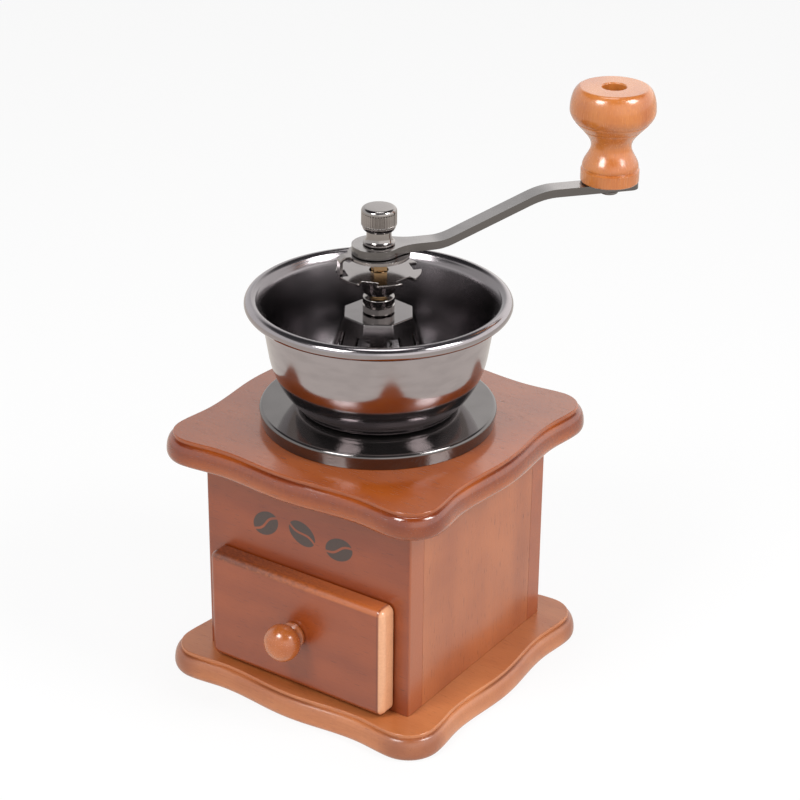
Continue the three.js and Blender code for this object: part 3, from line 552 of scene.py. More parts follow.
def moulded_plate(name, node):
    """The widest outline as a thin slice, drawn in upward over the bead and down under it."""
    low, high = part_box(node)
    thickness = high.z - low.z
    bead_level = thickness - plate_step - plate_bead_rise
    outline = plate_outline()
    obj = added(bpy.ops.mesh.primitive_circle_add, name, vertices=len(outline),
                radius=outline[0].length, fill_type="NGON")
    for vertex, place in zip(obj.data.vertices, outline):
        vertex.co = place + Vector((0, 0, bead_level))
    editing(obj)
    drawn([(0, 0), (0, SAME_PLACE * 2)])
    bpy.ops.mesh.select_all(action="SELECT")
    bpy.ops.mesh.normals_make_consistent(inside=False)
    over = arc((plate_bead, bead_level), (plate_bead, plate_bead_rise), 180, 90, 8)
    top = arc((plate_bead + plate_edge, thickness - plate_edge), plate_edge, 180, 90, 3)
    chosen(obj, "FACE", lambda middle, normal: normal.z > 0.5)
    edge_run([*over, *top])
    under = arc((plate_under_reach, bead_level), (plate_under_reach, bead_level), -180, -90, 7)
    lowest = bead_level + SAME_PLACE
    chosen(obj, "FACE", lambda middle, normal: normal.z < -0.5 and middle.z < lowest)
    edge_run(under)
    return placed(merged(obj), (0, 0, low.z))


def top_plate():
    low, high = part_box("top_plate")
    obj = moulded_plate("top_plate_wood", "top_plate")
    return combined(obj, rod("throat", throat_radius, low.z - MM, high.z + MM))


def base_plate():
    obj = moulded_plate("base_plate_wood", "base_plate")
    for i in range(4):
        low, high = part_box(f"base_screw_{i + 1}")
        reach = (high.x - low.x) / 2 + countersink_room + MM
        middle = (low + high) / 2
        sink = added(bpy.ops.mesh.primitive_cone_add, "countersink", vertices=48, radius1=reach,
                     radius2=0, depth=reach)
        combined(obj, placed(sink, (middle.x, middle.y, (reach - MM) / 2)))
    return obj


# Case boards

board_edge = 0.22 * MM
seam_edge = 0.02 * MM
case_edge = 1 * MM
opening_height = 36.9 * MM
opening_room = 0.5 * MM


def case_panel(name, node):
    """A panel that shows its ends at the case's sides: its outer upright edges are eased."""
    low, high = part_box(node)
    outer = low.y if low.y < 0 else high.y
    return rounded(board(name, node), case_edge, 5,
                   lambda a, b: abs(a.z - b.z) > MM and abs(a.y - outer) < SAME_PLACE)


def front_panel():
    low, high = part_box("front_panel")
    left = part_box("drawer_left_side")[0].x - opening_room
    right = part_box("drawer_right_side")[1].x + opening_room
    opening = block("opening", (left, low.y - MM, low.z - MM),
                    (right, high.y + MM, low.z + opening_height))
    panel = case_panel("front_panel_wood", "front_panel")
    return softened(combined(panel, opening), seam_edge, 2)


def back_panel():
    return softened(case_panel("back_panel_wood", "back_panel"), seam_edge, 2)


# Drawer

drawer_round = 2.2 * MM
drawer_corner = 2.7 * MM


def drawer_front():
    low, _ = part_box("drawer_front")
    obj = board("drawer_front_wood", "drawer_front")
    rounded(obj, drawer_corner, 5, lambda a, b: abs(a.y - b.y) > MM)
    rounded(obj, drawer_round, 7, lambda a, b: max(a.y, b.y) < low.y + SAME_PLACE)
    return softened(obj, board_edge, 2, 50)


pull_head_radius = 6.5 * MM
pull_neck_radius = 3.3 * MM
pull_foot_radius = 4.6 * MM
pull_foot_height = 1.2 * MM
pull_foot_edge = 0.4 * MM
pull_flat_share = 0.85
pull_bore = 1.9 * MM
pull_bore_depth = 7.3 * MM


def drawer_knob():
    low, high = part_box("drawer_knob")
    flat = pull_head_radius * pull_flat_share
    neck = -degrees(acos(pull_neck_radius / pull_head_radius))
    profile = [(0, pull_bore_depth), (pull_bore, pull_bore_depth), (pull_bore, 0),
               (pull_foot_radius - pull_foot_edge, 0), (pull_foot_radius, pull_foot_edge),
               (pull_foot_radius, pull_foot_height),
               (pull_neck_radius + 0.3 * MM, pull_foot_height + 0.7 * MM),
               (pull_neck_radius, pull_foot_height * 2)]
    profile += arc((0, high.y - low.y - flat), (pull_head_radius, flat), neck, 90, 24)
    obj = turned("drawer_knob_wood", [(max(r, 0), z) for r, z in profile], 64)
    middle = middle_of("drawer_knob")
    return placed(obj, (middle.x, high.y, middle.z), (pi / 2, 0, 0))


# Hopper: the wall is a cone above its knee and an arc below it

bowl_low, bowl_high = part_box("hopper_bowl")
bowl_sheet = 1 * MM
rim_roll = 2.2 * MM
foot_round = 1.4 * MM
hopper_hole = 19.4 * MM
wall_top = bowl_high.z - 2 * rim_roll + 0.5 * MM
wall_top_radius = 39.1 * MM
wall_taper = 9
taper = radians(wall_taper)
wall_arc = 31 * MM
wall_height = 16 * MM
knee_level = wall_top - wall_height
arc_radius = wall_top_radius - wall_height * tan(taper) - wall_arc * cos(taper)
arc_level = knee_level + wall_arc * sin(taper)


def bowl_wall(offset):
    """Outside or inside of the wall, from its foot to just under the rim."""
    start = -degrees(asin((arc_level - bowl_low.z - foot_round) / wall_arc))
    return [*arc((arc_radius, arc_level), wall_arc - offset, start, -wall_taper, 26),
            (wall_top_radius - offset / cos(taper), wall_top)]


def inside_bowl(r, place):
    """Where the bowl is painted darker as shade, and made rougher: 1 on the wall's inside, 0 on its
    outside, and more on the rim's inner side than outer.
    """
    x, y, height = r.axes(place)
    radius = (x * x + y * y) ** 0.5
    straight = wall_top_radius - (wall_top - height) * tan(taper)
    curved = arc_radius + (wall_arc ** 2 - (height - arc_level) * (height - arc_level)) ** 0.5
    above = (height - knee_level).rising(-0.1 * MM, 0.1 * MM)
    wall = curved + above * (straight - curved)
    rim = (height - wall_top).rising(0, 1.5 * MM)
    inner = (bowl_high.x - rim_roll - radius).rising(-MM, MM)
    return (wall - radius).rising(0.3 * MM, 0.7 * MM) * (1 - rim) + rim * (0.2 + 0.6 * inner)


def hopper_bowl():
    outer = bowl_wall(0)
    foot = outer[0][0] - foot_round
    foot_top = bowl_low.z + foot_round
    floor_level = bowl_low.z + bowl_sheet
    rim = (bowl_high.x - rim_roll, bowl_high.z - rim_roll)
    profile = [(hopper_hole, bowl_low.z), (foot - foot_round, bowl_low.z),
               *arc((foot - foot_round, foot_top), (2 * foot_round, foot_round), -80, -12, 5),
               *outer, *arc(rim, rim_roll, -115, 160, 22), *bowl_wall(bowl_sheet)[::-1],
               (foot - bowl_sheet, floor_level), (hopper_hole, floor_level)]
    return ring("hopper_bowl_plate", profile, FINE_STEPS)


collar_draft = 0.5 * MM
collar_sheet = 1 * MM
collar_round = 1.2 * MM


def flange_collar():
    low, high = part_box("flange_collar")
    radius, inner = high.x, high.z - collar_sheet
    profile = [(radius - collar_draft, low.z),
               *arc((radius - collar_round, high.z - collar_round), collar_round, 0, 90, 8),
               (hopper_hole, high.z), (hopper_hole, inner),
               (radius - collar_round - collar_sheet, inner),
               (radius - collar_sheet, inner - collar_round),
               (radius - collar_draft - collar_sheet, low.z)]
    return ring("flange_collar_plate", profile, FINE_STEPS)


# Bearing bridge

bridge_sides = 8
bridge_turn = -10.5
bridge_top_radius = 12.1 * MM
bridge_foot_radius = 23.4 * MM
bridge_sheet = 1.2 * MM
bridge_skirt = 4.8 * MM
bridge_edge = 0.3 * MM
leg_width = 5.6 * MM
foot_length = 2.6 * MM
bush_hole = 4.7 * MM
bush_hole_depth = 3 * MM


def octagon(name, radius_low, radius_high, bottom, top):
    obj = added(bpy.ops.mesh.primitive_cone_add, name, vertices=bridge_sides, radius1=radius_low,
                radius2=radius_high, depth=top - bottom)
    turn = radians(bridge_turn + 180 / bridge_sides + 90)
    return placed(obj, (0, 0, (bottom + top) / 2), (0, 0, turn))


def bearing_bridge():
    """A tapered octagonal cup, hollowed, then kept only where its skirt and its legs are."""
    low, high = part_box("bearing_bridge")
    slope = (bridge_foot_radius - bridge_top_radius) / (high.z - low.z)
    reach = bridge_foot_radius + foot_length
    obj = octagon("bearing_bridge_plate", bridge_foot_radius, bridge_top_radius, low.z, high.z)
    combined(obj, octagon("feet", reach, reach, low.z, low.z + bridge_sheet), "UNION")
    combined(obj, octagon("hollow", bridge_foot_radius + slope * MM - bridge_sheet,
                          bridge_top_radius - bridge_sheet, low.z - MM, high.z - bridge_sheet))
    keep = rod("skirt", reach, high.z - bridge_skirt, high.z + MM)
    for i in range(bridge_sides // 2):
        leg = block("leg", (-reach, -leg_width / 2, low.z - MM),
                    (reach, leg_width / 2, high.z + MM))
        placed(leg, turn=(0, 0, radians(bridge_turn + 360 * i / bridge_sides)))
        combined(keep, leg, "UNION")
    combined(obj, keep, "INTERSECT")
    combined(obj, rod("bush_hole", bush_hole, high.z - bush_hole_depth, high.z + MM, 48))
    return softened(merged(obj), bridge_edge, 3, 20)


bush_radius = 5.3 * MM
bush_groove = 0.5 * MM
bush_groove_width = 0.8 * MM
bush_groove_flank = bush_groove_width * 0.35
bush_collar = 2.1 * MM
bush_neck = 4.4 * MM
bush_tail_radius = 5.2 * MM
bush_tail = 3.4 * MM
bush_edge = 0.35 * MM
shaft_radius = 2.85 * MM
running = 0.3 * MM


def shaft_bush():
    low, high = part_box("shaft_bush")
    bore = shaft_radius + running
    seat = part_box("bearing_bridge")[1].z + running
    tail = low.z + bush_tail - running
    groove_top = high.z - bush_collar
    groove_low = groove_top - bush_groove_width
    rounding = bush_radius - bush_edge
    profile = [(bore, low.z), (bush_tail_radius, low.z), (bush_tail_radius, tail),
               (bush_neck, tail), (bush_neck, seat), (rounding, seat),
               *arc((rounding, seat + bush_edge), bush_edge, -90, 0, 4),
               (bush_radius, groove_low),
               (bush_radius - bush_groove, groove_low + bush_groove_flank),
               (bush_radius - bush_groove, groove_top - bush_groove_flank),
               (bush_radius, groove_top),
               *arc((rounding, high.z - bush_edge), bush_edge, 0, 90, 4), (bore, high.z)]
    return ring("shaft_bush_steel", profile)


# Crank

knob_low, knob_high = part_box("crank_knob")
knob_middle = middle_of("crank_knob")
crank_angle = atan2(knob_middle.y, knob_middle.x)
crank_radius = hypot(knob_middle.x, knob_middle.y)


def aimed(obj):
    """Turns a piece that was made along X to where the crank points."""
    return placed(obj, turn=(0, 0, crank_angle))


thread_pitch = 1 * MM
thread_depth = 0.4 * MM
thread_flank = thread_pitch * 0.45
thread_length = 10 * MM
drive_square = 4.4 * MM
stud_radius = 2 * MM
stud_length = 9 * MM
shaft_edge = 0.5 * MM


def grinder_shaft():
    """A rod threaded over its visible length, with a driving square and a stud above."""
    low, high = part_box("grinder_shaft")
    star_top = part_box("adjusting_nut")[1].z
    thread_high = star_top + running
    turns = round((thread_length + running) / thread_pitch)
    thread_low = thread_high - turns * thread_pitch
    root = shaft_radius - thread_depth
    shoulder = thread_low + thread_pitch
    lower = turned("shaft_rod", [(0, low.z), (shaft_radius - shaft_edge, low.z),
                                 (shaft_radius, low.z + shaft_edge), (shaft_radius, shoulder),
                                 (0, shoulder)], 64)
    core = rod("shaft_core", root + 0.02 * MM, thread_low, thread_high, 64)
    thread = point("shaft_thread", root, thread_low)
    drawn([(root, thread_low), (shaft_radius, thread_low + thread_flank),
           (shaft_radius, shoulder - thread_flank), (root, shoulder)])
    modified(thread, "SCREW", angle=FULL_TURN, steps=48, render_steps=48, iterations=turns - 1,
             screw_offset=thread_pitch, axis="Z", use_merge_vertices=True,
             merge_threshold=SAME_PLACE)
    half, stud_low = drive_square / 2, high.z - stud_length
    square = block("shaft_square", (-half, -half, thread_high - MM), (half, half, stud_low))
    stud = rod("shaft_stud", stud_radius, stud_low - MM, high.z, 48)
    only(merged(thread))
    for part in (lower, core, square, stud):
        part.select_set(True)
    bpy.ops.object.join()
    return aimed(named("grinder_shaft_brass"))


def square_hole(obj, bottom, top):
    """Cuts the hole that takes the shaft's driving square."""
    half = drive_square / 2 + running
    return combined(obj, block("slot", (-half, -half, bottom - MM), (half, half, top + MM)))


star_notches = 6
star_notch_depth = 3 * MM
star_notch_width = 5.8 * MM
star_thickness = 1.1 * MM
star_radius = 14 * MM
star_edge = 0.22 * MM  # of the lock plate too
hub_radius = 5.5 * MM
hub_round = 1.3 * MM
hub_fillet = 0.4 * MM


def adjusting_nut():
    low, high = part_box("adjusting_nut")
    bore = shaft_radius + running
    star_low = high.z - star_thickness
    profile = [(bore, low.z),
               *arc((hub_radius - hub_round, low.z + hub_round), hub_round, -90, 0, 8),
               *arc((hub_radius + hub_fillet, star_low - hub_fillet), hub_fillet, 180, 90, 4),
               (star_radius, star_low), (star_radius, high.z), (bore, high.z)]
    obj = ring("adjusting_nut_plate", profile, 120)
    root, half = star_radius - star_notch_depth, star_notch_width / 2
    for i in range(star_notches):
        notch = block("notch", (root, -half, star_low - MM), (star_radius + MM, half, high.z + MM))
        angle = crank_angle + pi + FULL_TURN * i / star_notches
        combined(obj, placed(notch, turn=(0, 0, angle)))
    return merged(softened(merged(obj), star_edge, 3, 40))


lock_radius = 10.3 * MM
lock_sheet = 1 * MM
lock_tab_width = 3.6 * MM
lock_tab_reach = 13.6 * MM
lock_bend = 1.7 * MM


def lock_plate():
    """A washer and a strip that is extruded round a bend and down into the star's notch."""
    low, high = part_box("lock_plate")
    bottom = high.z - lock_sheet
    middle = (bottom + high.z) / 2
    obj = rod("lock_plate_steel", lock_radius, bottom, high.z)
    corner = -(lock_tab_reach - lock_sheet / 2)
    route = [(-lock_radius / 2, middle),
             *arc((corner + lock_bend, middle - lock_bend), lock_bend, 90, 180, 8),
             (corner, low.z)]
    tab = added(bpy.ops.mesh.primitive_plane_add, "lock_tab", size=lock_tab_width)
    chosen(tab, "EDGE", lambda a, b: max(a.x, b.x) < 0)
    bpy.ops.mesh.select_all(action="INVERT")
    bpy.ops.mesh.delete(type="EDGE")
    bpy.ops.mesh.select_all(action="SELECT")
    bpy.ops.transform.translate(value=(route[0][0] + lock_tab_width / 2, 0, middle))
    drawn(route)
    modified(merged(tab), "SOLIDIFY", thickness=lock_sheet, offset=0)
    combined(obj, merged(tab), "UNION")
    return aimed(softened(merged(square_hole(obj, bottom, high.z)), star_edge, 3, 40))


arm_thickness = 2.8 * MM
arm_width = 6.4 * MM
arm_boss = 8 * MM
arm_boss_back = 1 * MM  # boss centre behind the shaft axis
arm_blend = 14 * MM
arm_tail = 10.1 * MM
arm_rise = 14.2 * MM
arm_slope = radians(22.5)
arm_bend_start = 21.2 * MM
arm_lower_bend = 17 * MM
arm_upper_bend = 25 * MM
arm_edge = 0.5 * MM
arm_steps = 64


def ramp(distance, centre, span):
    """Rises at a slope of one past its centre, through a smooth bend of a span."""
    share = min(max((distance - centre) / span + 0.5, 0), 1)
    return span * share * share / 2 + max(distance - centre - span / 2, 0)


def arm_lift(distance):
    climb = ramp(distance, arm_bend_start, arm_lower_bend * sin(arm_slope))
    run = arm_rise / tan(arm_slope)
    level = ramp(distance, arm_bend_start + run, arm_upper_bend * sin(arm_slope))
    return (climb - level) * tan(arm_slope)


def arm_half(distance):
    """Half the arm's width: round boss, blend, straight bar and round tip."""
    half = arm_width / 2
    blend_reach = sqrt((arm_boss + arm_blend) ** 2 - (half + arm_blend) ** 2)
    blend_end = blend_reach - arm_boss_back
    boss_end = blend_reach * arm_boss / (arm_boss + arm_blend) - arm_boss_back
    tip = crank_radius + arm_tail - half
    if distance < boss_end:
        return sqrt(max(arm_boss ** 2 - (distance + arm_boss_back) ** 2, 0))
    if distance < blend_end:
        return half + arm_blend - sqrt(arm_blend ** 2 - (blend_end - distance) ** 2)
    return half if distance <= tip else sqrt(max(half ** 2 - (distance - tip) ** 2, 0))


def crank_arm():
    """A grid whose rows are set along the arm, bent, thickened and rounded at its edges."""
    low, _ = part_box("crank_arm")
    tip = crank_radius + arm_tail - arm_width / 2
    rows = [x for x, _ in arc((-arm_boss_back, 0), arm_boss, 180, 40, 44)]
    boss_row = rows[-1]
    rows += [boss_row + (tip - boss_row) * (i + 1) / arm_steps for i in range(arm_steps)]
    rows += [x for x, _ in arc((tip, 0), arm_width / 2, 84, 0, 14)]
    obj = added(bpy.ops.mesh.primitive_grid_add, "crank_arm_steel",
                x_subdivisions=len(rows) - 1, y_subdivisions=4, size=1)
    for vertex in obj.data.vertices:
        distance = rows[round((vertex.co.x + 0.5) * (len(rows) - 1))]
        aside = 2 * vertex.co.y * arm_half(distance)
        vertex.co = (distance, aside, low.z + arm_lift(distance))
    editing(obj)
    bpy.ops.mesh.remove_doubles(threshold=SAME_PLACE)
    drawn([(0, 0), (0, arm_thickness)])
    square_hole(merged(obj), low.z, low.z + arm_thickness)
    return aimed(softened(merged(obj), arm_edge, 3, 50))


cap_flutes = 40
cap_radius = 5.85 * MM
cap_flute_depth = 0.3 * MM
cap_knurl = 4.8 * MM
cap_dome = 1.4 * MM
cap_crown = 4.6 * MM
cap_under = 1.9 * MM
cap_neck_radius = 4.1 * MM
cap_neck_height = 1.4 * MM
cap_flare = 2.4 * MM
cap_foot_radius = 5.3 * MM
cap_foot_height = 0.6 * MM
cap_edge = 0.15 * MM
cap_roof = 3 * MM  # from the end of the bore to the top


def cap_nut():
    """Turned nut. Every other column of its band is pressed in to make the flutes."""
    low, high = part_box("cap_nut")
    neck_low = low.z + cap_foot_height + cap_flare
    band_low = neck_low + cap_neck_height + cap_under
    band_top = band_low + cap_knurl
    bore, bore_end = stud_radius + running, high.z - cap_roof
    flare = (cap_foot_radius - cap_neck_radius, cap_flare)
    under = (cap_radius - cap_flute_depth - cap_neck_radius, cap_under)
    profile = [(0, bore_end), (bore, bore_end), (bore, low.z), (cap_foot_radius - cap_edge, low.z),
               (cap_foot_radius, low.z + cap_edge),
               *arc((cap_foot_radius, neck_low), flare, -90, -180, 10),
               *arc((cap_neck_radius, band_low), under, -90, 0, 9),
               (cap_radius, band_low + 0.3 * MM), (cap_radius, band_low + 0.6 * MM),
               (cap_radius, band_top - 0.6 * MM), (cap_radius, band_top - 0.1 * MM),
               *arc((cap_crown, band_top), (cap_radius - cap_crown, cap_dome), 6, 90, 9),
               (0, high.z)]
    columns = cap_flutes * 4
    obj = turned("cap_nut_steel", profile, columns)
    squeeze = 1 - cap_flute_depth / cap_radius
    for vertex in obj.data.vertices:
        x, y, z = vertex.co
        column = round(atan2(y, x) / FULL_TURN * columns) % 4
        on_band = band_low + 0.5 * MM < z < band_top - 0.3 * MM
        if on_band and column in (0, 1) and hypot(x, y) > cap_radius - 0.1 * MM:
            vertex.co = (x * squeeze, y * squeeze, z)
    return aimed(merged(obj))


knob_head_radius = 14.2 * MM
knob_crown_radius = 10.9 * MM
knob_waist_radius = 6.7 * MM
knob_foot_radius = 9.75 * MM
knob_foot_round = 0.7 * MM
knob_foot_height = 4.3 * MM
knob_foot_edge = 0.1 * MM
knob_neck_radius = 9.4 * MM
knob_neck_level = 5.2 * MM
knob_waist_level = 12.4 * MM
knob_head_level = 24.7 * MM
knob_line_shares = (0.47, 0.71)
knob_line_width = 0.7 * MM
knob_line_depth = 0.25 * MM
knob_recess_radius = 4 * MM
knob_recess_depth = 9 * MM
knob_recess_edge = 0.5 * MM
pin_radius = 2.1 * MM
pin_head_radius = 3.5 * MM
pin_head_height = 1.8 * MM
pin_foot_round = 0.7 * MM


def crank_knob():
    height = knob_high.z - knob_low.z
    neck, waist = (knob_neck_radius, knob_neck_level), (knob_waist_radius, knob_waist_level)
    head = (knob_head_radius, knob_head_level)
    crown = (knob_head_radius - knob_crown_radius, height - knob_head_level)
    lines = [knob_waist_level + share * (knob_head_level - knob_waist_level)
             for share in knob_line_shares]
    bore, lip = pin_radius + running, knob_recess_radius + knob_recess_edge
    recess = height - knob_recess_depth
    foot = (knob_foot_radius - knob_foot_round, knob_foot_round)
    profile = [(bore, 0), *arc(foot, knob_foot_round, -90, 0, 6),
               (knob_foot_radius, knob_foot_height - knob_foot_edge),
               (knob_foot_radius - knob_foot_edge, knob_foot_height),
               (knob_neck_radius - knob_line_depth, (knob_foot_height + knob_neck_level) / 2),
               neck, *eased(neck, waist, 18), waist]
    for radius, level in eased(waist, head, 70):
        off = min(abs(level - line) for line in lines)
        profile.append((radius - knob_line_depth * max(0, 1 - 2 * off / knob_line_width), level))
    profile += [*arc((knob_crown_radius, knob_head_level), crown, 0, 90, 16), (lip, height),
                *arc((lip, height - knob_recess_edge), knob_recess_edge, 100, 180, 4),
                (knob_recess_radius, recess), (bore, recess)]
    return placed(ring("crank_knob_wood", profile), (knob_middle.x, knob_middle.y, knob_low.z))


def knob_pin():
    low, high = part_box("knob_pin")
    shoulder = high.z - pin_head_height
    foot = arc((pin_radius, low.z + pin_foot_round), (MM, pin_foot_round), -70, 60, 6)
    dome = arc((0, shoulder + 0.5 * MM), (pin_head_radius, 1.3 * MM), 0, 90, 10)
    profile = [(0, low.z), (pin_radius, low.z), *foot, (pin_radius, low.z + 2 * pin_foot_round),
               (pin_radius, shoulder), (pin_head_radius, shoulder), *dome]
    return placed(turned("knob_pin_steel", profile, 48), (knob_middle.x, knob_middle.y, 0))


# Screws and the hidden works

screw_edge = 0.2 * MM
screw_shank = 1.5 * MM
screw_slope = 1.7 * MM
screw_tip = 3 * MM
recess_reach, recess_half, recess_depth = 1.7 * MM, 0.35 * MM, 0.9 * MM
recess_turn = radians(20)


def base_screws():
    """One countersunk screw with a cross recess, copied to its four places."""
    low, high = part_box("base_screw_1")
    head = (high.x - low.x) / 2
    profile = [(0, low.z), (head - screw_edge, low.z), (head, low.z + screw_edge),
               (screw_shank, low.z + screw_slope), (screw_shank, high.z - screw_tip), (0, high.z)]
    first = turned("base_screw_steel_1", profile, 40)
    for turn in (0, pi / 2):
        slot = block("recess", (-recess_reach, -recess_half, low.z - MM),
                     (recess_reach, recess_half, low.z + recess_depth))
        combined(first, placed(slot, turn=(0, 0, turn + recess_turn)))
    screws = [first] + [copied(first, f"base_screw_steel_{i}") for i in (2, 3, 4)]
    for i, screw in enumerate(screws):
        middle = middle_of(f"base_screw_{i + 1}")
        placed(screw, (middle.x, middle.y, 0))
    return screws


def dressed(node, name, edge):
    """A copy of a node's solid with its points merged and its edges rounded."""
    obj = copied(frame["nodes"][node], name)
    obj.parent = None
    merged(obj)
    editing(obj)
    bpy.ops.mesh.dissolve_limited(angle_limit=radians(1))
    only(obj)
    return softened(obj, edge, 2, 30) if edge else obj


# Assembly

record = frame["record"]
body_of = {node: body for body, nodes in record["behaviour"]["bodies"].items() for node in nodes}


def stands_for(obj, node, material, angle=35):
    """Gives a piece its finish and lets it stand for a node, on that node's body."""
    obj.data.materials.clear()
    obj.data.materials.append(material)
    shaded(obj, angle)
    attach(obj, body_of[node])
    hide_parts(node)


def made(make, material, angle=35):
    """Finishes the piece of a function that has its node's name."""
    stands_for(make(), make.__name__, material, angle)


black_nickel = plated("black_nickel", (0.33, 0.305, 0.3), 0.12)
# a darker copy of black nickel: painted shade on the bridge down in the bowl
bridge_nickel_shaded = plated("bridge_nickel_shaded", (0.22, 0.205, 0.205), 0.12)
# painted shade inside the bowl and on the rim's inner side
bowl_nickel_shaded_inside = plated("bowl_nickel_shaded_inside", (0.46, 0.425, 0.44), 0.14, inside=inside_bowl)
collar_black = plated("collar_black", (0.18, 0.168, 0.165), 0.08, metal=0.96)
# the arm's upright sides carry painted shade
gunmetal_shaded_sides = plated("satin_gunmetal_shaded_sides", (0.4, 0.38, 0.375), 0.22, grit=0.5, sides=0.45)
turned_steel = plated("turned_steel", (0.36, 0.335, 0.325), 0.14)
screw_steel = plated("screw_steel", (0.5, 0.48, 0.45), 0.3)
pin_steel = plated("pin_steel", (0.2, 0.19, 0.185), 0.3)
shaft_brass = plated("shaft_brass", (0.5, 0.33, 0.17), 0.22)
burr_iron = plated("burr_iron", (0.12, 0.115, 0.11), 0.5, grit=1.0)

# darker than the case's wood: painted shade of the top plate's overhang
front_wood_shaded = stained_wood("front_wood_shaded", "X", srgb(145, 63, 16), srgb(117, 43, 8), pore_and_crease_shade,
                          (0.01, 0.02, 0.03), touch=bean_print)
back_wood = stained_wood("back_wood", "X", case_light, case_dark, pore_and_crease_shade, (0.07, 0.01, 0.05))
left_wood = stained_wood("left_wood", "Z", case_light, case_dark, pore_and_crease_shade, (0.03, 0.06, 0.02))
right_wood = stained_wood("right_wood", "Z", srgb(176, 98, 50), srgb(140, 66, 27), pore_and_crease_shade,
                          (0.05, 0.03, 0.06))
drawer_wood = stained_wood("drawer_wood", "X", srgb(152, 69, 24), srgb(125, 50, 14), pore_and_crease_shade,
                           (0.04, 0.05, 0.01), touch=worn_edges)
tray_wood = stained_wood("tray_wood", "Y", srgb(214, 176, 128), srgb(178, 134, 88),
                         srgb(130, 88, 52), gloss=0.6, coat=0.0)
knob_wood = stained_wood("knob_wood", "Z", srgb(203, 127, 60), srgb(164, 82, 30),
                         srgb(154, 80, 34), (0.02, 0.02, 0.02), gloss=0.24, coat_rough=0.2)
pull_wood = stained_wood("pull_wood", "Y", srgb(194, 112, 52), srgb(154, 72, 28),
                         srgb(146, 72, 30), (0.02, 0.01, 0.03), gloss=0.24, coat_rough=0.2)
# a lighter stain, made lighter still as painted light where the case and the top plate's overhang
# shade the base
base_wood_painted_lighter = plate_wood("base_wood_painted_lighter", "base_plate", srgb(206, 132, 80), srgb(170, 92, 44),
                       srgb(132, 62, 28), painted_shade_share=0.35, gloss=0.34, coat_rough=0.24)
top_wood = plate_wood("top_wood", "top_plate", srgb(164, 80, 18), srgb(139, 60, 10), pore_and_crease_shade,
                      painted_shade_share=1, gloss=0.2, coat_rough=0.12)

made(base_plate, base_wood_painted_lighter)
made(top_plate, top_wood)
made(front_panel, front_wood_shaded)
made(back_panel, back_wood)
for side, finish in (("left", left_wood), ("right", right_wood)):
    panel = softened(board(f"{side}_panel_wood", f"{side}_side_panel"), seam_edge, 2)
    stands_for(panel, f"{side}_side_panel", finish)

made(drawer_front, drawer_wood)
for side in ("left_side", "right_side", "back", "bottom"):
    tray_board = softened(board(f"drawer_{side}_wood", f"drawer_{side}"), board_edge * 2, 2)
    stands_for(tray_board, f"drawer_{side}", tray_wood)
made(drawer_knob, pull_wood)

made(flange_collar, collar_black)
made(hopper_bowl, bowl_nickel_shaded_inside)
made(bearing_bridge, bridge_nickel_shaded)
made(shaft_bush, turned_steel)
made(grinder_shaft, shaft_brass)
made(adjusting_nut, black_nickel)
made(lock_plate, black_nickel)
made(crank_arm, gunmetal_shaded_sides)
made(cap_nut, turned_steel, 25)
made(crank_knob, knob_wood)
made(knob_pin, pin_steel)
for i, screw in enumerate(base_screws()):
    stands_for(screw, f"base_screw_{i + 1}", screw_steel)

works = [("drawer_knob_screw", "drawer_screw_steel", 0.1 * MM, screw_steel),
         ("burr_carrier", "burr_carrier_steel", 0.3 * MM, screw_steel),
         *[(f"carrier_screw_{i}", f"carrier_screw_steel_{i}", 0.1 * MM, screw_steel)
           for i in (1, 2, 3, 4)],
         ("outer_burr_ring", "outer_burr_iron", 0, burr_iron),
         ("cone_burr", "cone_burr_iron", 0, burr_iron),
         ("burr_spring", "burr_spring_steel", 0, turned_steel),
         ("burr_washer", "burr_washer_steel", 0.15 * MM, screw_steel),
         ("burr_nut", "burr_nut_steel", 0.3 * MM, screw_steel)]
for node, name, edge, finish in works:
    piece, wire = dressed(node, name, edge), node == "burr_spring"
    if wire:
        modified(piece, "SUBSURF", levels=2, render_levels=2)
    stands_for(piece, node, finish, 180 if wire else 35)

# Floor and world

floor_width = 8
floor_drop = 0.1 * MM
cloth_white = (0.9, 0.9, 0.9, 1)
warm_bounce = (0.76, 0.71, 0.65, 1)
pure_white = (1, 1, 1, 1)

floor = added(bpy.ops.mesh.primitive_plane_add, "studio_floor", size=floor_width,
              location=(0, 0, cad_box[0].z - floor_drop))
paper = recipe("pale_floor")
seen = paper.node("ShaderNodeLightPath", output="Is Camera Ray")
mirrored = paper.node("ShaderNodeLightPath", output="Is Glossy Ray")
cloth = paper.node("ShaderNodeBsdfDiffuse", {"Color": cloth_white})
pale = paper.blend(seen, warm_bounce, pure_white)
glow = paper.node("ShaderNodeEmission", {"Color": pale, "Strength": 1.0})
backdrop_share = 0.87 * seen + 0.95 * mirrored
mixed = paper.node("ShaderNodeMixShader", {0: backdrop_share, 1: cloth, 2: glow})
paper.node("ShaderNodeOutputMaterial", {"Surface": mixed})
floor.data.materials.append(paper.owner)

sky_tones = ((0.0, (0.9, 0.9, 0.9, 1)), (0.5, (0.92, 0.92, 0.92, 1)),
             (0.62, (0.07, 0.07, 0.075, 1)), (1.0, (0.04, 0.04, 0.045, 1)))
dim_side = (0.88, 0.88, 0.88, 1)
bright_side = (1.34, 1.32, 1.3, 1)
sky_strength = 1.1

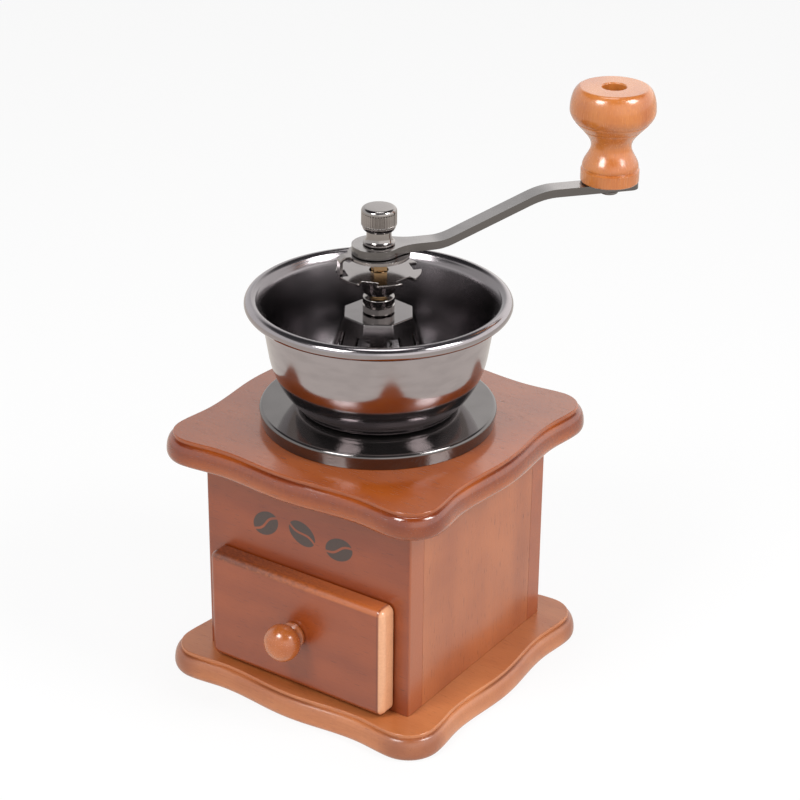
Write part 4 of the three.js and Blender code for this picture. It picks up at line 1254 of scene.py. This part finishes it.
sky = Recipe(bpy.data.worlds.new("studio"))
bpy.context.scene.world = sky.owner
east, north, height = sky.axes(sky.node("ShaderNodeTexCoord", output="Generated"))
tones = sky.node("ShaderNodeValToRGB", {0: height})
stops = tones.socket.node.color_ramp.elements
while len(stops) < len(sky_tones):
    stops.new(0.5)
for stop, (level, tone) in zip(stops, sky_tones):
    stop.position, stop.color = level, tone
towards_bright = (0.83 * east + 0.56 * north).rising(-0.12, 0.12)
tones = sky.blend(1.0, tones, sky.blend(towards_bright, dim_side, bright_side), "MULTIPLY")
room = sky.node("ShaderNodeBackground", {"Color": tones, "Strength": sky_strength})
sky.node("ShaderNodeOutputWorld", {"Surface": room})

# Lamps and camera

lamp_target = Vector((0, 0, 100 * MM))
lamp_distance = 0.9
lamp_size = 0.3


def facing(azimuth, elevation):
    """Where a viewer at these angles stands. Azimuth 0 is in front of the drawer."""
    return Vector((sin(azimuth) * cos(elevation), -cos(azimuth) * cos(elevation), sin(elevation)))


# Square soft boxes that look at the hopper
for name, azimuth, elevation, power in (("left_soft_box", -10, 46, 4.4),
                                        ("right_soft_box", 100, 44, 4.5),
                                        ("top_soft_box", 200, 82, 1.2)):
    towards = facing(radians(azimuth), radians(elevation))
    only(None)
    bpy.ops.object.light_add(type="AREA", location=lamp_target + towards * lamp_distance)
    light = bpy.context.object
    light.name = name
    light.rotation_euler = towards.to_track_quat("Z", "Y").to_euler()
    light.data.shape = "SQUARE"
    light.data.size, light.data.energy = lamp_size, power

view_azimuth = radians(34.1188)
view_elevation = radians(25.9653)
view_roll = radians(0.5642)
view_distance = 840.83 * MM
view_target = Vector((-33.464, 62.485, 63.3314)) * MM

back = facing(view_azimuth, view_elevation)
level_right = Vector((cos(view_azimuth), sin(view_azimuth), 0))
level = Matrix((level_right, back.cross(level_right), back)).transposed()
turn = level @ Matrix.Rotation(view_roll, 3, "Z")
only(None)
bpy.ops.object.camera_add()
camera = bpy.context.object
camera.matrix_world = Matrix.Translation(view_target + back * view_distance) @ turn.to_4x4()
camera.data.lens, camera.data.sensor_width = 102.0, 36
camera.data.clip_start, camera.data.clip_end = 0.01, 20
bpy.context.scene.camera = camera

bpy.context.scene.view_settings.view_transform = "Standard"
